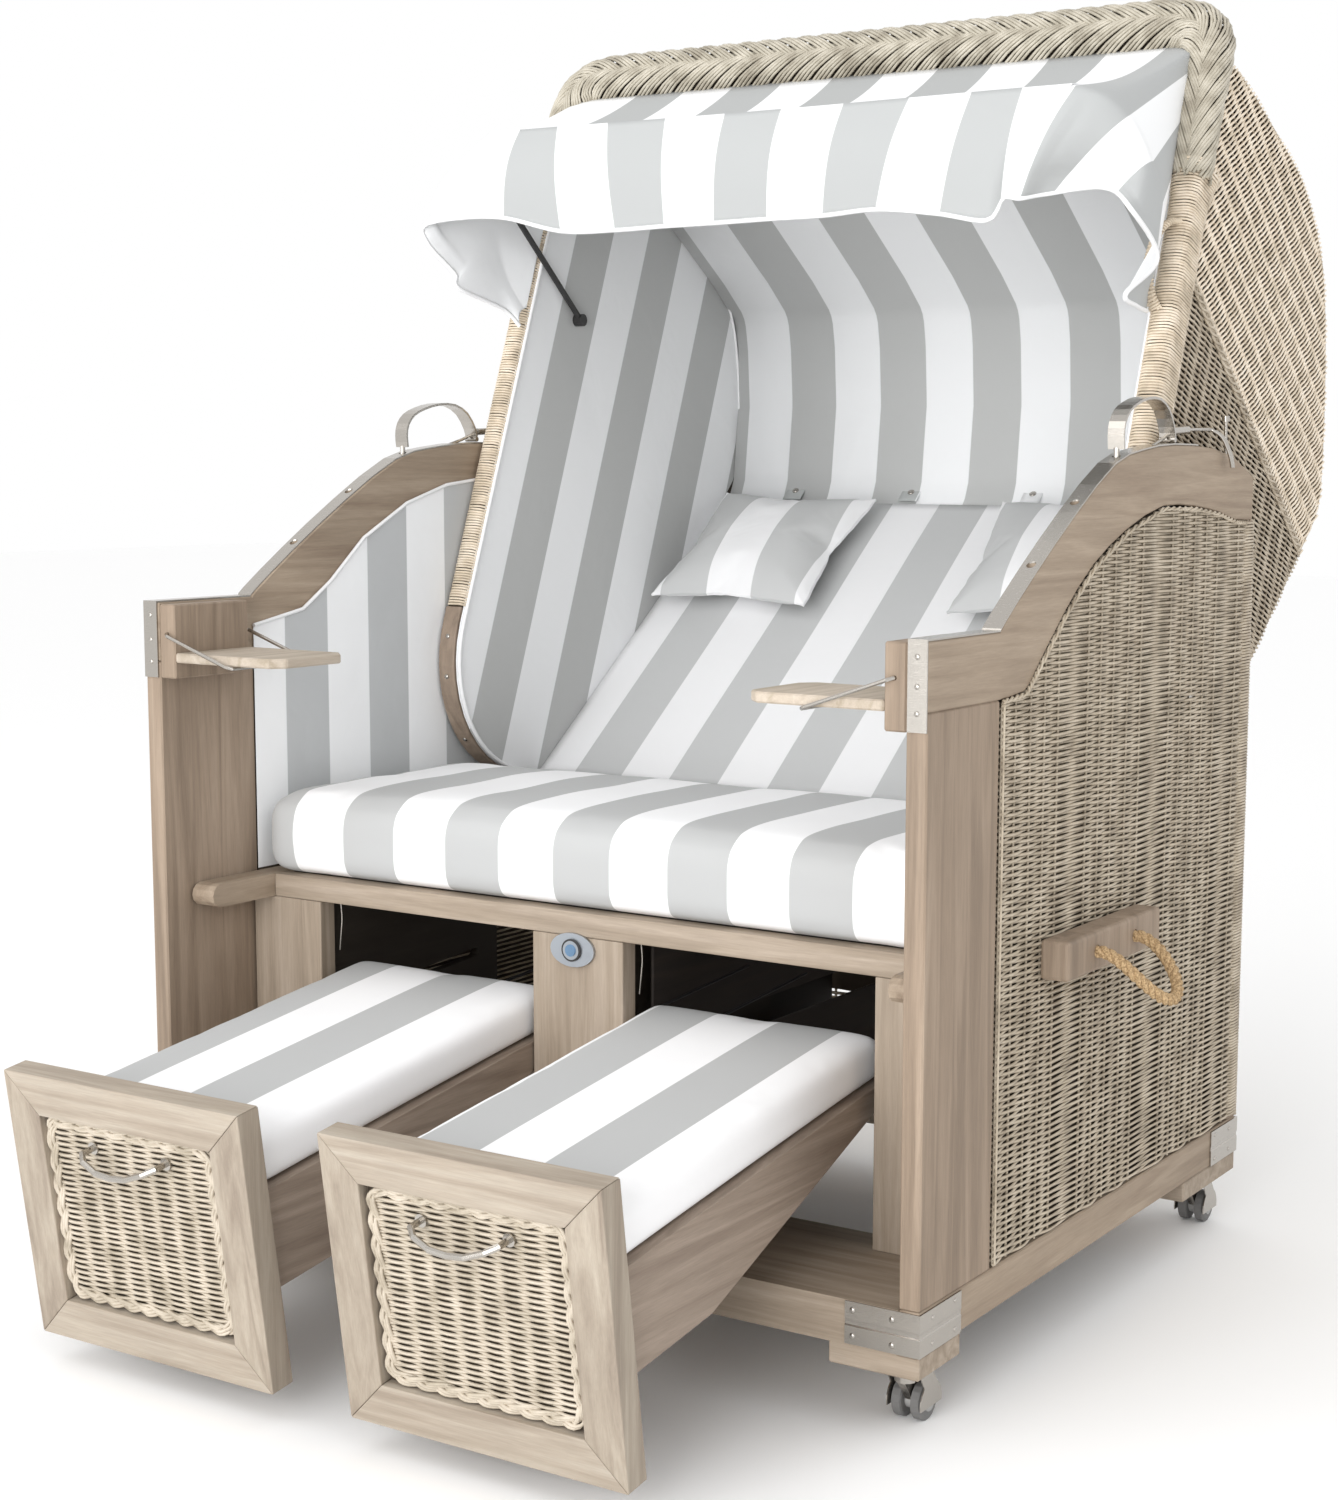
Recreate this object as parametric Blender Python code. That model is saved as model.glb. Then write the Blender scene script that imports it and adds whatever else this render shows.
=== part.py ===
# Hooded beach chair with a reclining wicker hood, two pull-out footrests,
# folding side tables, an awning and four swivel casters.
# Metres, +Z up, the chair faces -Y. "left" is the side at -X.
# Outlines are written in the chair's own frame, whose y is zero at the front
# face of the side posts; the hood, the footrests and other moving pieces have
# a frame of their own on the axis they turn about.

import math

import bpy
import bmesh
from mathutils import Vector

for old_object in list(bpy.data.objects):
    bpy.data.objects.remove(old_object, do_unlink=True)

# Overall sizes
chair_width = 1.200
base_depth = 0.987
front_plane_y = -0.494
plank_thickness = 0.027
seat_gap = 0.0003
cut_overrun = 0.004
glue_overlap = 0.0015
edge_round = 0.002

# Heights
foot_block_bottom_z = 0.078
base_bottom_z = 0.106
base_rail_height = 0.053
arm_underside_front_z = 0.843
arm_top_front_z = 0.922
arm_rise = 0.218
arm_underside_rise = 0.217
seat_rail_bottom_z = 0.500
seat_rail_height = 0.032

# Front of the base
front_post_depth = 0.178
seat_front_y = 0.166
seat_frame_thickness = 0.030

# Hood and pivot
hood_recline = math.radians(20.1)
pivot_y = 0.765
pivot_z = 0.800
leg_radius = 0.190
leg_width = 0.035
hood_half_width = 0.5575
hood_wall = 0.0245
back_wall = 0.012
hood_height = 0.889
hood_back_reach = 0.496
backrest_lean = math.radians(32.4)
pillar_outer_x = 0.565
pillar_inner_x = 0.535

# Footrests
footrest_tilt = math.radians(8.0)
footrest_inner_x = 0.0596
footrest_width = 0.3844
footrest_height = 0.347
footrest_panel_thickness = 0.035

outer_x = chair_width / 2
plank_inner_x = outer_x - plank_thickness
base_rail_top_z = base_bottom_z + base_rail_height
seat_rail_top_z = seat_rail_bottom_z + seat_rail_height


def make_material(name, rgb, roughness, metallic=0.0):
    material = bpy.data.materials.new(name)
    material.use_nodes = True
    shader = material.node_tree.nodes["Principled BSDF"]
    shader.inputs["Base Color"].default_value = (*rgb, 1.0)
    shader.inputs["Roughness"].default_value = roughness
    shader.inputs["Metallic"].default_value = metallic
    return material


teak_colour = (0.30, 0.25, 0.21)
wicker_colour = (0.52, 0.47, 0.38)
steel_colour = (0.62, 0.61, 0.59)
cloth_colour = (0.70, 0.70, 0.69)
rope_colour = (0.55, 0.38, 0.20)
rubber_colour = (0.16, 0.16, 0.17)
black_colour = (0.02, 0.02, 0.02)


def empty(name, parent=None, location=(0, 0, 0), turn_x=0.0):
    pivot = bpy.data.objects.new(name, None)
    bpy.context.collection.objects.link(pivot)
    pivot.parent = parent
    pivot.location = location
    pivot.rotation_euler = (turn_x, 0, 0)
    return pivot


chair = empty("chair_origin", location=(0, front_plane_y, 0))


def add_object(name, bm, parent, colour=None, roughness=0.6, metallic=0.0, smooth=None):
    bmesh.ops.recalc_face_normals(bm, faces=bm.faces)
    mesh = bpy.data.meshes.new(name)
    bm.to_mesh(mesh)
    bm.free()
    if smooth:
        mesh.shade_smooth()
        mesh.set_sharp_from_angle(angle=smooth)
    obj = bpy.data.objects.new(name, mesh)
    bpy.context.collection.objects.link(obj)
    obj.parent = parent
    if colour:
        obj.data.materials.append(make_material(name, colour, roughness, metallic))
    return obj


def axis_point(axis, along, across, up):
    # along lies on the axis; across and up are the other two in x, y, z order
    return {"x": (along, across, up), "y": (across, along, up), "z": (across, up, along)}[axis]


def prism(outline, axis, low, high):
    # A closed outline, extruded along an axis from low to high.
    bm = bmesh.new()
    face = bm.faces.new([bm.verts.new(axis_point(axis, low, *point)) for point in outline])
    extruded = bmesh.ops.extrude_face_region(bm, geom=[face])
    moved = [item for item in extruded["geom"] if isinstance(item, bmesh.types.BMVert)]
    shift = Vector(axis_point(axis, high - low, 0, 0))
    bmesh.ops.translate(bm, verts=moved, vec=shift)
    return bm


def box(low, high):
    outline = [(low[1], low[2]), (high[1], low[2]), (high[1], high[2]), (low[1], high[2])]
    return prism(outline, "x", low[0], high[0])


def loft(rings, closed_caps=True):
    # Rings of equal point counts, bridged in order, with a face on each end.
    bm = bmesh.new()
    loops = [[bm.verts.new(point) for point in ring] for ring in rings]
    count = len(loops[0])
    for lower, upper in zip(loops, loops[1:]):
        for i in range(count):
            j = (i + 1) % count
            bm.faces.new((lower[i], lower[j], upper[j], upper[i]))
    if closed_caps:
        bm.faces.new(loops[0])
        bm.faces.new(loops[-1])
    return bm


def swept_tube(points, radius, sides):
    # A round bar along a smooth line of points.
    points = [Vector(point) for point in points]
    tangents = []
    for i in range(len(points)):
        before = points[max(i - 1, 0)]
        after = points[min(i + 1, len(points) - 1)]
        tangents.append((after - before).normalized())
    helper = Vector((0, 0, 1)) if abs(tangents[0].z) < 0.9 else Vector((1, 0, 0))
    side = tangents[0].cross(helper).normalized()
    rings = []
    for i, point in enumerate(points):
        side = (side - tangents[i] * side.dot(tangents[i])).normalized()
        other = tangents[i].cross(side)
        ring = []
        for k in range(sides):
            angle = 2 * math.pi * (k + 0.5) / sides
            ring.append(point + (side * math.cos(angle) + other * math.sin(angle)) * radius)
        rings.append(ring)
    return loft(rings)


def turned(profile, segments, centre=(0, 0, 0)):
    # A profile of (x, radius) pairs turned about an X axis, with a facet down.
    half_step = math.pi / segments
    rings = []
    for x, radius in profile:
        reach = radius / math.cos(half_step)
        ring = []
        for k in range(segments):
            angle = 2 * math.pi * k / segments + half_step - math.pi / 2
            ring.append((centre[0] + x, centre[1] + reach * math.cos(angle), centre[2] + reach * math.sin(angle)))
        rings.append(ring)
    return loft(rings)


def upright_round(radius, low, high, segments, centre=(0, 0)):
    outline = []
    for k in range(segments):
        angle = 2 * math.pi * (k + 0.5) / segments
        outline.append((centre[0] + radius * math.cos(angle), centre[1] + radius * math.sin(angle)))
    return prism(outline, "z", low, high)


def ring_outline(radius, segments, centre):
    return [(centre[0] + radius * math.cos(2 * math.pi * k / segments),
             centre[1] + radius * math.sin(2 * math.pi * k / segments)) for k in range(segments)]


def arc(centre, radius, start, end, steps):
    return [(centre[0] + radius * math.cos(start + (end - start) * k / steps),
             centre[1] + radius * math.sin(start + (end - start) * k / steps)) for k in range(steps + 1)]


def smooth_line(points, steps):
    # A curve through the points, with steps pieces between each two.
    line = []
    count = len(points)
    for i in range(count - 1):
        p0 = Vector(points[max(i - 1, 0)])
        p1 = Vector(points[i])
        p2 = Vector(points[i + 1])
        p3 = Vector(points[min(i + 2, count - 1)])
        for k in range(steps):
            t = k / steps
            line.append(tuple(0.5 * (2 * p1 + (p2 - p0) * t + (2 * p0 - 5 * p1 + 4 * p2 - p3) * t * t
                                     + (3 * p1 - p0 - 3 * p2 + p3) * t * t * t)))
    line.append(tuple(points[-1]))
    return line


def lattice(cross_lines, up_lines, is_solid, axis, low, high):
    # A plate of cells between grid lines, open where is_solid says so.
    bm = bmesh.new()
    verts = {}

    def corner(i, j):
        if (i, j) not in verts:
            verts[(i, j)] = bm.verts.new(axis_point(axis, low, cross_lines[i], up_lines[j]))
        return verts[(i, j)]

    faces = []
    for i in range(len(cross_lines) - 1):
        for j in range(len(up_lines) - 1):
            if is_solid(i, j):
                faces.append(bm.faces.new((corner(i, j), corner(i + 1, j), corner(i + 1, j + 1), corner(i, j + 1))))
    extruded = bmesh.ops.extrude_face_region(bm, geom=faces)
    moved = [item for item in extruded["geom"] if isinstance(item, bmesh.types.BMVert)]
    bmesh.ops.translate(bm, verts=moved, vec=Vector(axis_point(axis, high - low, 0, 0)))
    return bm


def round_edges(obj, width=edge_round, segments=1, angle=35):
    # Only outward corners are rounded, so that nothing is filled in
    bm = bmesh.new()
    bm.from_mesh(obj.data)
    weight = bm.edges.layers.float.new("bevel_weight_edge")
    for edge in bm.edges:
        if edge.is_convex and edge.calc_face_angle() > math.radians(angle):
            edge[weight] = 1.0
    bm.to_mesh(obj.data)
    bm.free()
    modifier = obj.modifiers.new("edges", "BEVEL")
    modifier.width = width
    modifier.segments = segments
    modifier.limit_method = "WEIGHT"
    return obj


def combine(target, bm, operation, label):
    helper = add_object(target.name + "_" + label, bm, target.parent)
    helper.hide_render = True
    helper.display_type = "WIRE"
    modifier = target.modifiers.new(label, "BOOLEAN")
    modifier.operation = operation
    modifier.object = helper
    modifier.solver = "EXACT"
    return helper


def cut(target, bm, label):
    return combine(target, bm, "DIFFERENCE", label)


def fuse(target, bm, label):
    return combine(target, bm, "UNION", label)


def between(low, high, sign):
    return (low, high) if sign > 0 else (-high, -low)


sides = (("left", -1), ("right", 1))
ends = ("front", "rear")

# Armrest line: a plank on edge that rises in an ogee from the front post.
# Both edges are given as shares of the base's depth and of the rise.
arm_rear_setback = 0.007
arm_rear_y = base_depth - arm_rear_setback
arm_top_shares = ((0.180, 0.0), (0.191, 0.046), (0.272, 0.294), (0.384, 0.606), (0.500, 0.881),
                  (0.588, 0.963), (0.695, 1.0), (0.838, 0.982), (0.931, 0.904), (0.993, 0.800))
arm_under_shares = ((0.172, 0.0), (0.246, 0.023), (0.279, 0.138), (0.355, 0.424), (0.436, 0.673),
                    (0.542, 0.871), (0.661, 1.0), (0.770, 0.991), (0.860, 0.949), (0.923, 0.894),
                    (0.993, 0.890))
arm_curve_steps = 2


def arm_line(shares, start_z, rise):
    knots = [(base_depth * y_share, start_z + rise * z_share) for y_share, z_share in shares]
    return smooth_line(knots, arm_curve_steps)


arm_top_line = arm_line(arm_top_shares, arm_top_front_z, arm_rise)
arm_under_line = arm_line(arm_under_shares, arm_underside_front_z, arm_underside_rise)


def height_on(line, y):
    for (y0, z0), (y1, z1) in zip(line, line[1:]):
        if y0 <= y <= y1:
            return z0 + (z1 - z0) * (y - y0) / (y1 - y0)
    return line[0][1] if y < line[0][0] else line[-1][1]


def clip_line(line, start, end, drop=0.0):
    inner = [(y, z - drop) for y, z in line if start < y < end]
    return [(start, height_on(line, start) - drop)] + inner + [(end, height_on(line, end) - drop)]


# Side frames: front post, bottom rail, wicker panel, rear post and armrest
panel_inner_lap = 0.0025
panel_weave_proud = 0.0005
panel_inner_x = plank_inner_x - panel_inner_lap
panel_outer_x = outer_x + panel_weave_proud
rear_post_depth = 0.032
rear_post_front_y = base_depth - rear_post_depth
pivot_bolt_radius = 0.006
bolt_clearance = 0.0003
latch_hole_radius = 0.006
latch_hole_depth = 0.018
latch_hole_y_shares = (0.284, 0.405, 0.530)

for side, sign in sides:
    low_x, high_x = between(plank_inner_x, outer_x, sign)
    post = add_object("front_post_" + side,
                      box((low_x, 0, base_rail_top_z + seat_gap),
                          (high_x, front_post_depth, arm_underside_front_z - seat_gap)),
                      chair, teak_colour)
    round_edges(post)
    rail = add_object("side_bottom_rail_" + side,
                      box((low_x, 0, base_bottom_z), (high_x, base_depth, base_rail_top_z)),
                      chair, teak_colour)
    round_edges(rail)
    rear = add_object("rear_post_" + side,
                      box((low_x, rear_post_front_y, base_rail_top_z + seat_gap),
                          (high_x, base_depth, arm_under_line[-1][1] - seat_gap * 4)),
                      chair, teak_colour)
    round_edges(rear)
    arm_outline = [(0, arm_top_front_z)] + clip_line(arm_top_line, arm_top_line[0][0], arm_rear_y)
    arm_outline += list(reversed(clip_line(arm_under_line, arm_under_line[0][0], arm_rear_y)))
    arm_outline += [(0, arm_underside_front_z)]
    arm = add_object("armrest_" + side, prism(arm_outline, "x", low_x, high_x), chair, teak_colour)
    round_edges(arm, angle=50)
    for number, share in enumerate(latch_hole_y_shares):
        hole_y = base_depth * share
        hole_z = height_on(arm_top_line, hole_y)
        cut(arm, upright_round(latch_hole_radius, hole_z - latch_hole_depth, hole_z + latch_hole_depth, 12,
                               ((low_x + high_x) / 2, hole_y)), "latch_pocket_%d" % number)
    low_x, high_x = between(panel_inner_x, panel_outer_x, sign)
    panel_outline = [(front_post_depth + seat_gap, base_rail_top_z + seat_gap),
                     (rear_post_front_y - seat_gap, base_rail_top_z + seat_gap)]
    panel_outline += list(reversed(clip_line(arm_under_line, front_post_depth + seat_gap,
                                             rear_post_front_y - seat_gap, seat_gap * 2)))
    panel = add_object("side_panel_" + side, prism(panel_outline, "x", low_x, high_x), chair, wicker_colour, 0.7)
    cut(panel, prism(ring_outline(pivot_bolt_radius + bolt_clearance, 16, (pivot_y, pivot_z)), "x",
                     low_x - cut_overrun, high_x + cut_overrun), "pivot_hole")

# Front and rear bottom rails with the foot blocks glued under their ends
base_board_thickness = 0.027
base_board_depth = 0.185
base_beam_depth = 0.040
floor_board_end_y = 0.245
floor_board_drop = 0.008
foot_block_width = 0.119
front_foot_depth = 0.103
rear_foot_depth = 0.197
foot_block_top_z = base_bottom_z - seat_gap
beam_drop = 0.002
caster_x = 0.552
caster_setback = 0.060
rear_caster_setback = 0.047
stem_radius = 0.0053
stem_clearance = 0.0003
stem_hole_depth = 0.021
rail_half_length = plank_inner_x - seat_gap
board_recess = 0.001
board_top_z = base_rail_top_z - board_recess


def bottom_rail(name, front_y, inward, block_depth, caster_y):
    # inward is +1 where the rail reaches back from the front face, -1 at the rear
    beam_bottom_z = base_bottom_z - beam_drop
    board_under_z = board_top_z - base_board_thickness
    outline = [(front_y, beam_bottom_z), (front_y + inward * base_beam_depth, beam_bottom_z),
               (front_y + inward * base_beam_depth, board_under_z),
               (front_y + inward * floor_board_end_y, board_under_z),
               (front_y + inward * floor_board_end_y, board_top_z - floor_board_drop),
               (front_y + inward * base_board_depth, board_top_z - floor_board_drop),
               (front_y + inward * base_board_depth, board_top_z), (front_y, board_top_z)]
    rail = add_object(name, prism(outline, "x", -rail_half_length, rail_half_length), chair, teak_colour)
    for side, sign in sides:
        low_x, high_x = between(outer_x - foot_block_width, outer_x, sign)
        low_y, high_y = sorted((front_y, front_y + inward * block_depth))
        block = fuse(rail, box((low_x, low_y, foot_block_bottom_z), (high_x, high_y, foot_block_top_z)),
                     "foot_block_" + side)
        round_edges(block)
        cut(rail, upright_round(stem_radius + stem_clearance, foot_block_bottom_z - cut_overrun,
                                foot_block_bottom_z + stem_hole_depth, 12, (sign * caster_x, caster_y)),
            "stem_hole_" + side)
    return rail


front_caster_y = caster_setback
rear_caster_y = base_depth - rear_caster_setback
bottom_rail("front_bottom_rail", 0, 1, front_foot_depth, front_caster_y)
bottom_rail("rear_bottom_rail", base_depth, -1, rear_foot_depth, rear_caster_y)

# Corner brackets: pressed steel angles with a groove along the middle
bracket_sheet = 0.002
bracket_front_leg = 0.096
bracket_side_leg = 0.100
bracket_height = 0.051
bracket_groove_half = 0.004
bracket_groove_depth = 0.0008
bracket_bottom_z = base_bottom_z + 0.0005


def bracket_outline(sign, corner_y, inward, sheet):
    inner_x = outer_x + seat_gap
    inner_y = corner_y - inward * seat_gap
    leg_x = outer_x - bracket_front_leg
    leg_y = corner_y + inward * bracket_side_leg
    points = [(leg_x, inner_y), (inner_x, inner_y), (inner_x, leg_y), (inner_x + sheet, leg_y),
              (inner_x + sheet, inner_y - inward * sheet), (leg_x, inner_y - inward * sheet)]
    return [(sign * x, y) for x, y in points]


for end, corner_y, inward in (("front", 0, 1), ("rear", base_depth, -1)):
    for side, sign in sides:
        rings = []
        middle_z = bracket_bottom_z + bracket_height / 2
        for z, sheet in ((bracket_bottom_z, bracket_sheet),
                         (middle_z - bracket_groove_half, bracket_sheet),
                         (middle_z - bracket_groove_half / 2, bracket_sheet - bracket_groove_depth),
                         (middle_z + bracket_groove_half / 2, bracket_sheet - bracket_groove_depth),
                         (middle_z + bracket_groove_half, bracket_sheet),
                         (bracket_bottom_z + bracket_height, bracket_sheet)):
            rings.append([(x, y, z) for x, y in bracket_outline(sign, corner_y, inward, sheet)])
        add_object("corner_bracket_%s_%s" % (end, side), loft(rings), chair, steel_colour, 0.3, 1.0)

# Steel strap over the armrest, with the holes that the hood latch drops into
strap_width = 0.0245
strap_sheet = 0.002
strap_bottom_z = 0.821
strap_end_y = 0.768
strap_inset = 0.0013


def strap_line(lift):
    line = [(-lift, strap_bottom_z), (-lift, arm_top_front_z + lift)]
    for y, z in clip_line(arm_top_line, arm_top_line[0][0], strap_end_y):
        line.append((y, z + lift))
    return line


for side, sign in sides:
    strap_outer_x = outer_x - seat_gap
    low_x, high_x = between(strap_outer_x - strap_width, strap_outer_x, sign)
    outline = strap_line(seat_gap) + list(reversed(strap_line(seat_gap + strap_sheet)))
    strap = add_object("arm_strap_" + side, prism(outline, "x", low_x, high_x), chair, steel_colour, 0.3, 1.0)
    for number, share in enumerate(latch_hole_y_shares):
        hole_y = base_depth * share
        hole_z = height_on(arm_top_line, hole_y)
        cut(strap, upright_round(latch_hole_radius, hole_z - latch_hole_depth, hole_z + latch_hole_depth, 12,
                                 ((low_x + high_x) / 2, hole_y)), "latch_hole_%d" % number)

# Rope handle: a block on the side panel, and a rope whose ends sit in its bores
block_front_y = 0.297
block_length = 0.286
block_bottom_z = 0.491
block_height = 0.050
block_depth = 0.039
rope_radius = 0.008
rope_hole_clearance = 0.0005
rope_pitch = 0.118
rope_reach = 0.078
rope_drop = 0.062
rope_bulge = 0.012
rope_bore_depth = 0.030
rope_points = 16
rope_exit = 0.010
rope_block_round = 0.005

for side, sign in sides:
    block_inner_x = panel_outer_x + seat_gap
    block_outer_x = block_inner_x + block_depth
    low_x, high_x = between(block_inner_x, block_outer_x, sign)
    block = add_object("rope_block_" + side,
                       box((low_x, block_front_y, block_bottom_z),
                           (high_x, block_front_y + block_length, block_bottom_z + block_height)),
                       chair, teak_colour)
    round_edges(block, rope_block_round, 2)
    middle_y = block_front_y + block_length / 2
    rope_z = block_bottom_z + block_height / 2
    bore_bottom_x = block_outer_x - rope_bore_depth
    for number, offset in enumerate((-rope_pitch / 2, rope_pitch / 2)):
        low_bore, high_bore = between(bore_bottom_x, block_outer_x + cut_overrun, sign)
        cut(block, prism(ring_outline(rope_radius + rope_hole_clearance, 12, (middle_y + offset, rope_z)), "x",
                         low_bore, high_bore), "rope_hole_%d" % number)
    inner_end = bore_bottom_x + seat_gap
    route = [(sign * inner_end, middle_y - rope_pitch / 2, rope_z)]
    for k in range(rope_points + 1):
        angle = math.pi * k / rope_points
        swing = math.sin(angle)
        route.append((sign * (block_outer_x + rope_exit + (rope_reach - rope_exit) * swing),
                      middle_y - (rope_pitch / 2 + rope_bulge * swing * swing) * math.cos(angle),
                      rope_z - rope_drop * swing ** 1.5))
    route.append((sign * inner_end, middle_y + rope_pitch / 2, rope_z))
    add_object("rope_handle_" + side, swept_tube(route, rope_radius, 10), chair, rope_colour, 0.9,
               smooth=math.radians(60))

# Back panel: an open wicker grille between the rear posts
back_panel_top_z = 0.550
back_panel_thickness = 0.024
back_panel_columns = 9
back_panel_rows = 6
back_post_width = 0.022
back_band_height = 0.040


def bar_lines(low, high, count, bar):
    pitch = (high - low - bar) / count
    lines = []
    for k in range(count + 1):
        lines += [low + pitch * k, low + pitch * k + bar]
    return lines


back_half_width = plank_inner_x - seat_gap
back_x_lines = bar_lines(-back_half_width, back_half_width, back_panel_columns, back_post_width)
back_z_lines = bar_lines(base_rail_top_z + seat_gap, back_panel_top_z, back_panel_rows, back_band_height)
back_panel_recess = 0.002
back_face_y = base_depth - back_panel_recess
add_object("back_panel",
           lattice(back_x_lines, back_z_lines, lambda i, j: i % 2 == 0 or j % 2 == 0, "y",
                   back_face_y - back_panel_thickness, back_face_y),
           chair, wicker_colour, 0.7)

# Seat front frame: rail, centre post and two wide outer posts in one plane
centre_post_half_width = 0.0725
outer_post_inner_x = 0.445
seat_rail_block_x = 0.530
post_side_clearance = 0.0007
seat_post_outer_x = panel_inner_x - post_side_clearance
lock_offset_x = -0.005
lock_z = 0.482
lock_barrel_radius = 0.010
lock_barrel_depth = 0.020
seat_post_bottom_z = board_top_z + seat_gap
rail_end_x = seat_rail_block_x - seat_gap
post_top_z = seat_rail_bottom_z - seat_gap
half_frame = [(centre_post_half_width, seat_post_bottom_z), (centre_post_half_width, seat_rail_bottom_z),
              (outer_post_inner_x, seat_rail_bottom_z), (outer_post_inner_x, seat_post_bottom_z),
              (seat_post_outer_x, seat_post_bottom_z), (seat_post_outer_x, post_top_z),
              (rail_end_x, post_top_z), (rail_end_x, seat_rail_top_z)]
frame_outline = half_frame + [(-x, z) for x, z in reversed(half_frame)]
seat_frame = add_object("seat_front_frame",
                        prism(frame_outline, "y", seat_front_y, seat_front_y + seat_frame_thickness),
                        chair, teak_colour)
round_edges(seat_frame)
cut(seat_frame, prism(ring_outline(lock_barrel_radius + seat_gap, 16, (lock_offset_x, lock_z)), "y",
                      seat_front_y - cut_overrun, seat_front_y + lock_barrel_depth + seat_gap), "lock_bore")

# Seat lock: an oval plate on the centre post with a round barrel let into it
lock_plate_half_width = 0.035
lock_plate_half_height = 0.0225
lock_plate_thickness = 0.004
lock_plate_front_y = seat_front_y - seat_gap - lock_plate_thickness
lock_points = 24
oval = [(lock_offset_x + lock_plate_half_width * math.cos(2 * math.pi * k / lock_points),
         lock_z + lock_plate_half_height * math.sin(2 * math.pi * k / lock_points)) for k in range(lock_points)]
lock = add_object("seat_lock", prism(oval, "y", lock_plate_front_y, lock_plate_front_y + lock_plate_thickness),
                  chair, steel_colour, 0.35, 1.0)
fuse(lock, prism(ring_outline(lock_barrel_radius, 16, (lock_offset_x, lock_z)), "y",
                 lock_plate_front_y - lock_plate_thickness / 2, seat_front_y + lock_barrel_depth), "barrel")

# Seat deck: side rails, boards, and four hanging boards whose slots guide the
# rods that the footrests turn and slide on
deck_end_y = 0.700
deck_thickness = 0.018
side_rail_front_y = 0.045
runner_thickness = 0.015
runner_inner_x = 0.030
runner_outer_x = 0.455
runner_bottom_z = 0.312
runner_clearance = 0.0015
runner_front_y = seat_front_y + seat_frame_thickness + runner_clearance
runner_end_y = 0.575
rod_radius = 0.006
rod_clearance = 0.0003
box_depth = 0.632
rod_end_margin = 0.032
rod_setback = box_depth - rod_end_margin
rod_drop = 0.1255
rod_front_margin = 0.0161
rod_z = 0.3412
slide_travel = 0.310
slide_rise = math.radians(4.5)

rod_y = runner_front_y + rod_front_margin
footrest_top_y = rod_y - rod_setback * math.cos(footrest_tilt) - rod_drop * math.sin(footrest_tilt)
footrest_top_z = rod_z - rod_setback * math.sin(footrest_tilt) + rod_drop * math.cos(footrest_tilt)

deck = add_object("seat_deck",
                  box((-seat_rail_block_x - glue_overlap, seat_front_y + seat_frame_thickness + seat_gap,
                       seat_rail_top_z - deck_thickness),
                      (seat_rail_block_x + glue_overlap, deck_end_y, seat_rail_top_z)),
                  chair, teak_colour)
rail_round = seat_rail_height / 2
for side, sign in sides:
    low_x, high_x = between(seat_rail_block_x, seat_post_outer_x, sign)
    nose = arc((side_rail_front_y + rail_round, seat_rail_bottom_z + rail_round), rail_round,
               math.radians(90), math.radians(270), 6)
    rail_outline = nose + [(deck_end_y - glue_overlap, seat_rail_bottom_z),
                           (deck_end_y - glue_overlap, seat_rail_top_z)]
    fuse(deck, prism(rail_outline, "x", low_x, high_x), "rail_" + side)
    for place, runner_x in (("inner", runner_inner_x), ("outer", runner_outer_x)):
        low_x, high_x = between(runner_x, runner_x + runner_thickness, sign)
        fuse(deck, box((low_x, runner_front_y, runner_bottom_z),
                       (high_x, runner_end_y, seat_rail_top_z - deck_thickness + glue_overlap)),
             "runner_%s_%s" % (place, side))
slot_half = rod_radius + 2 * rod_clearance
slot_end = (rod_y + slide_travel * math.cos(slide_rise), rod_z + slide_travel * math.sin(slide_rise))
slot_outline = arc((rod_y, rod_z), slot_half, math.pi / 2 + slide_rise, 3 * math.pi / 2 + slide_rise, 8)
slot_outline += arc(slot_end, slot_half, -math.pi / 2 + slide_rise, math.pi / 2 + slide_rise, 8)
slot_half_length = runner_outer_x + runner_thickness + cut_overrun
cut(deck, prism(slot_outline, "x", -slot_half_length, slot_half_length), "rod_slots")


pad_corner_share = 0.3
pad_inset_share = 0.6
pad_shoulder_share = 0.12
pad_level_shares = ((0.35, 0.0, 0.0), (0.05, 0.5, 0.0), (0.0, 0.0, 0.5), (0.1, -0.6, 1.0),
                    (pad_inset_share, -pad_shoulder_share, 1.0))


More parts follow.
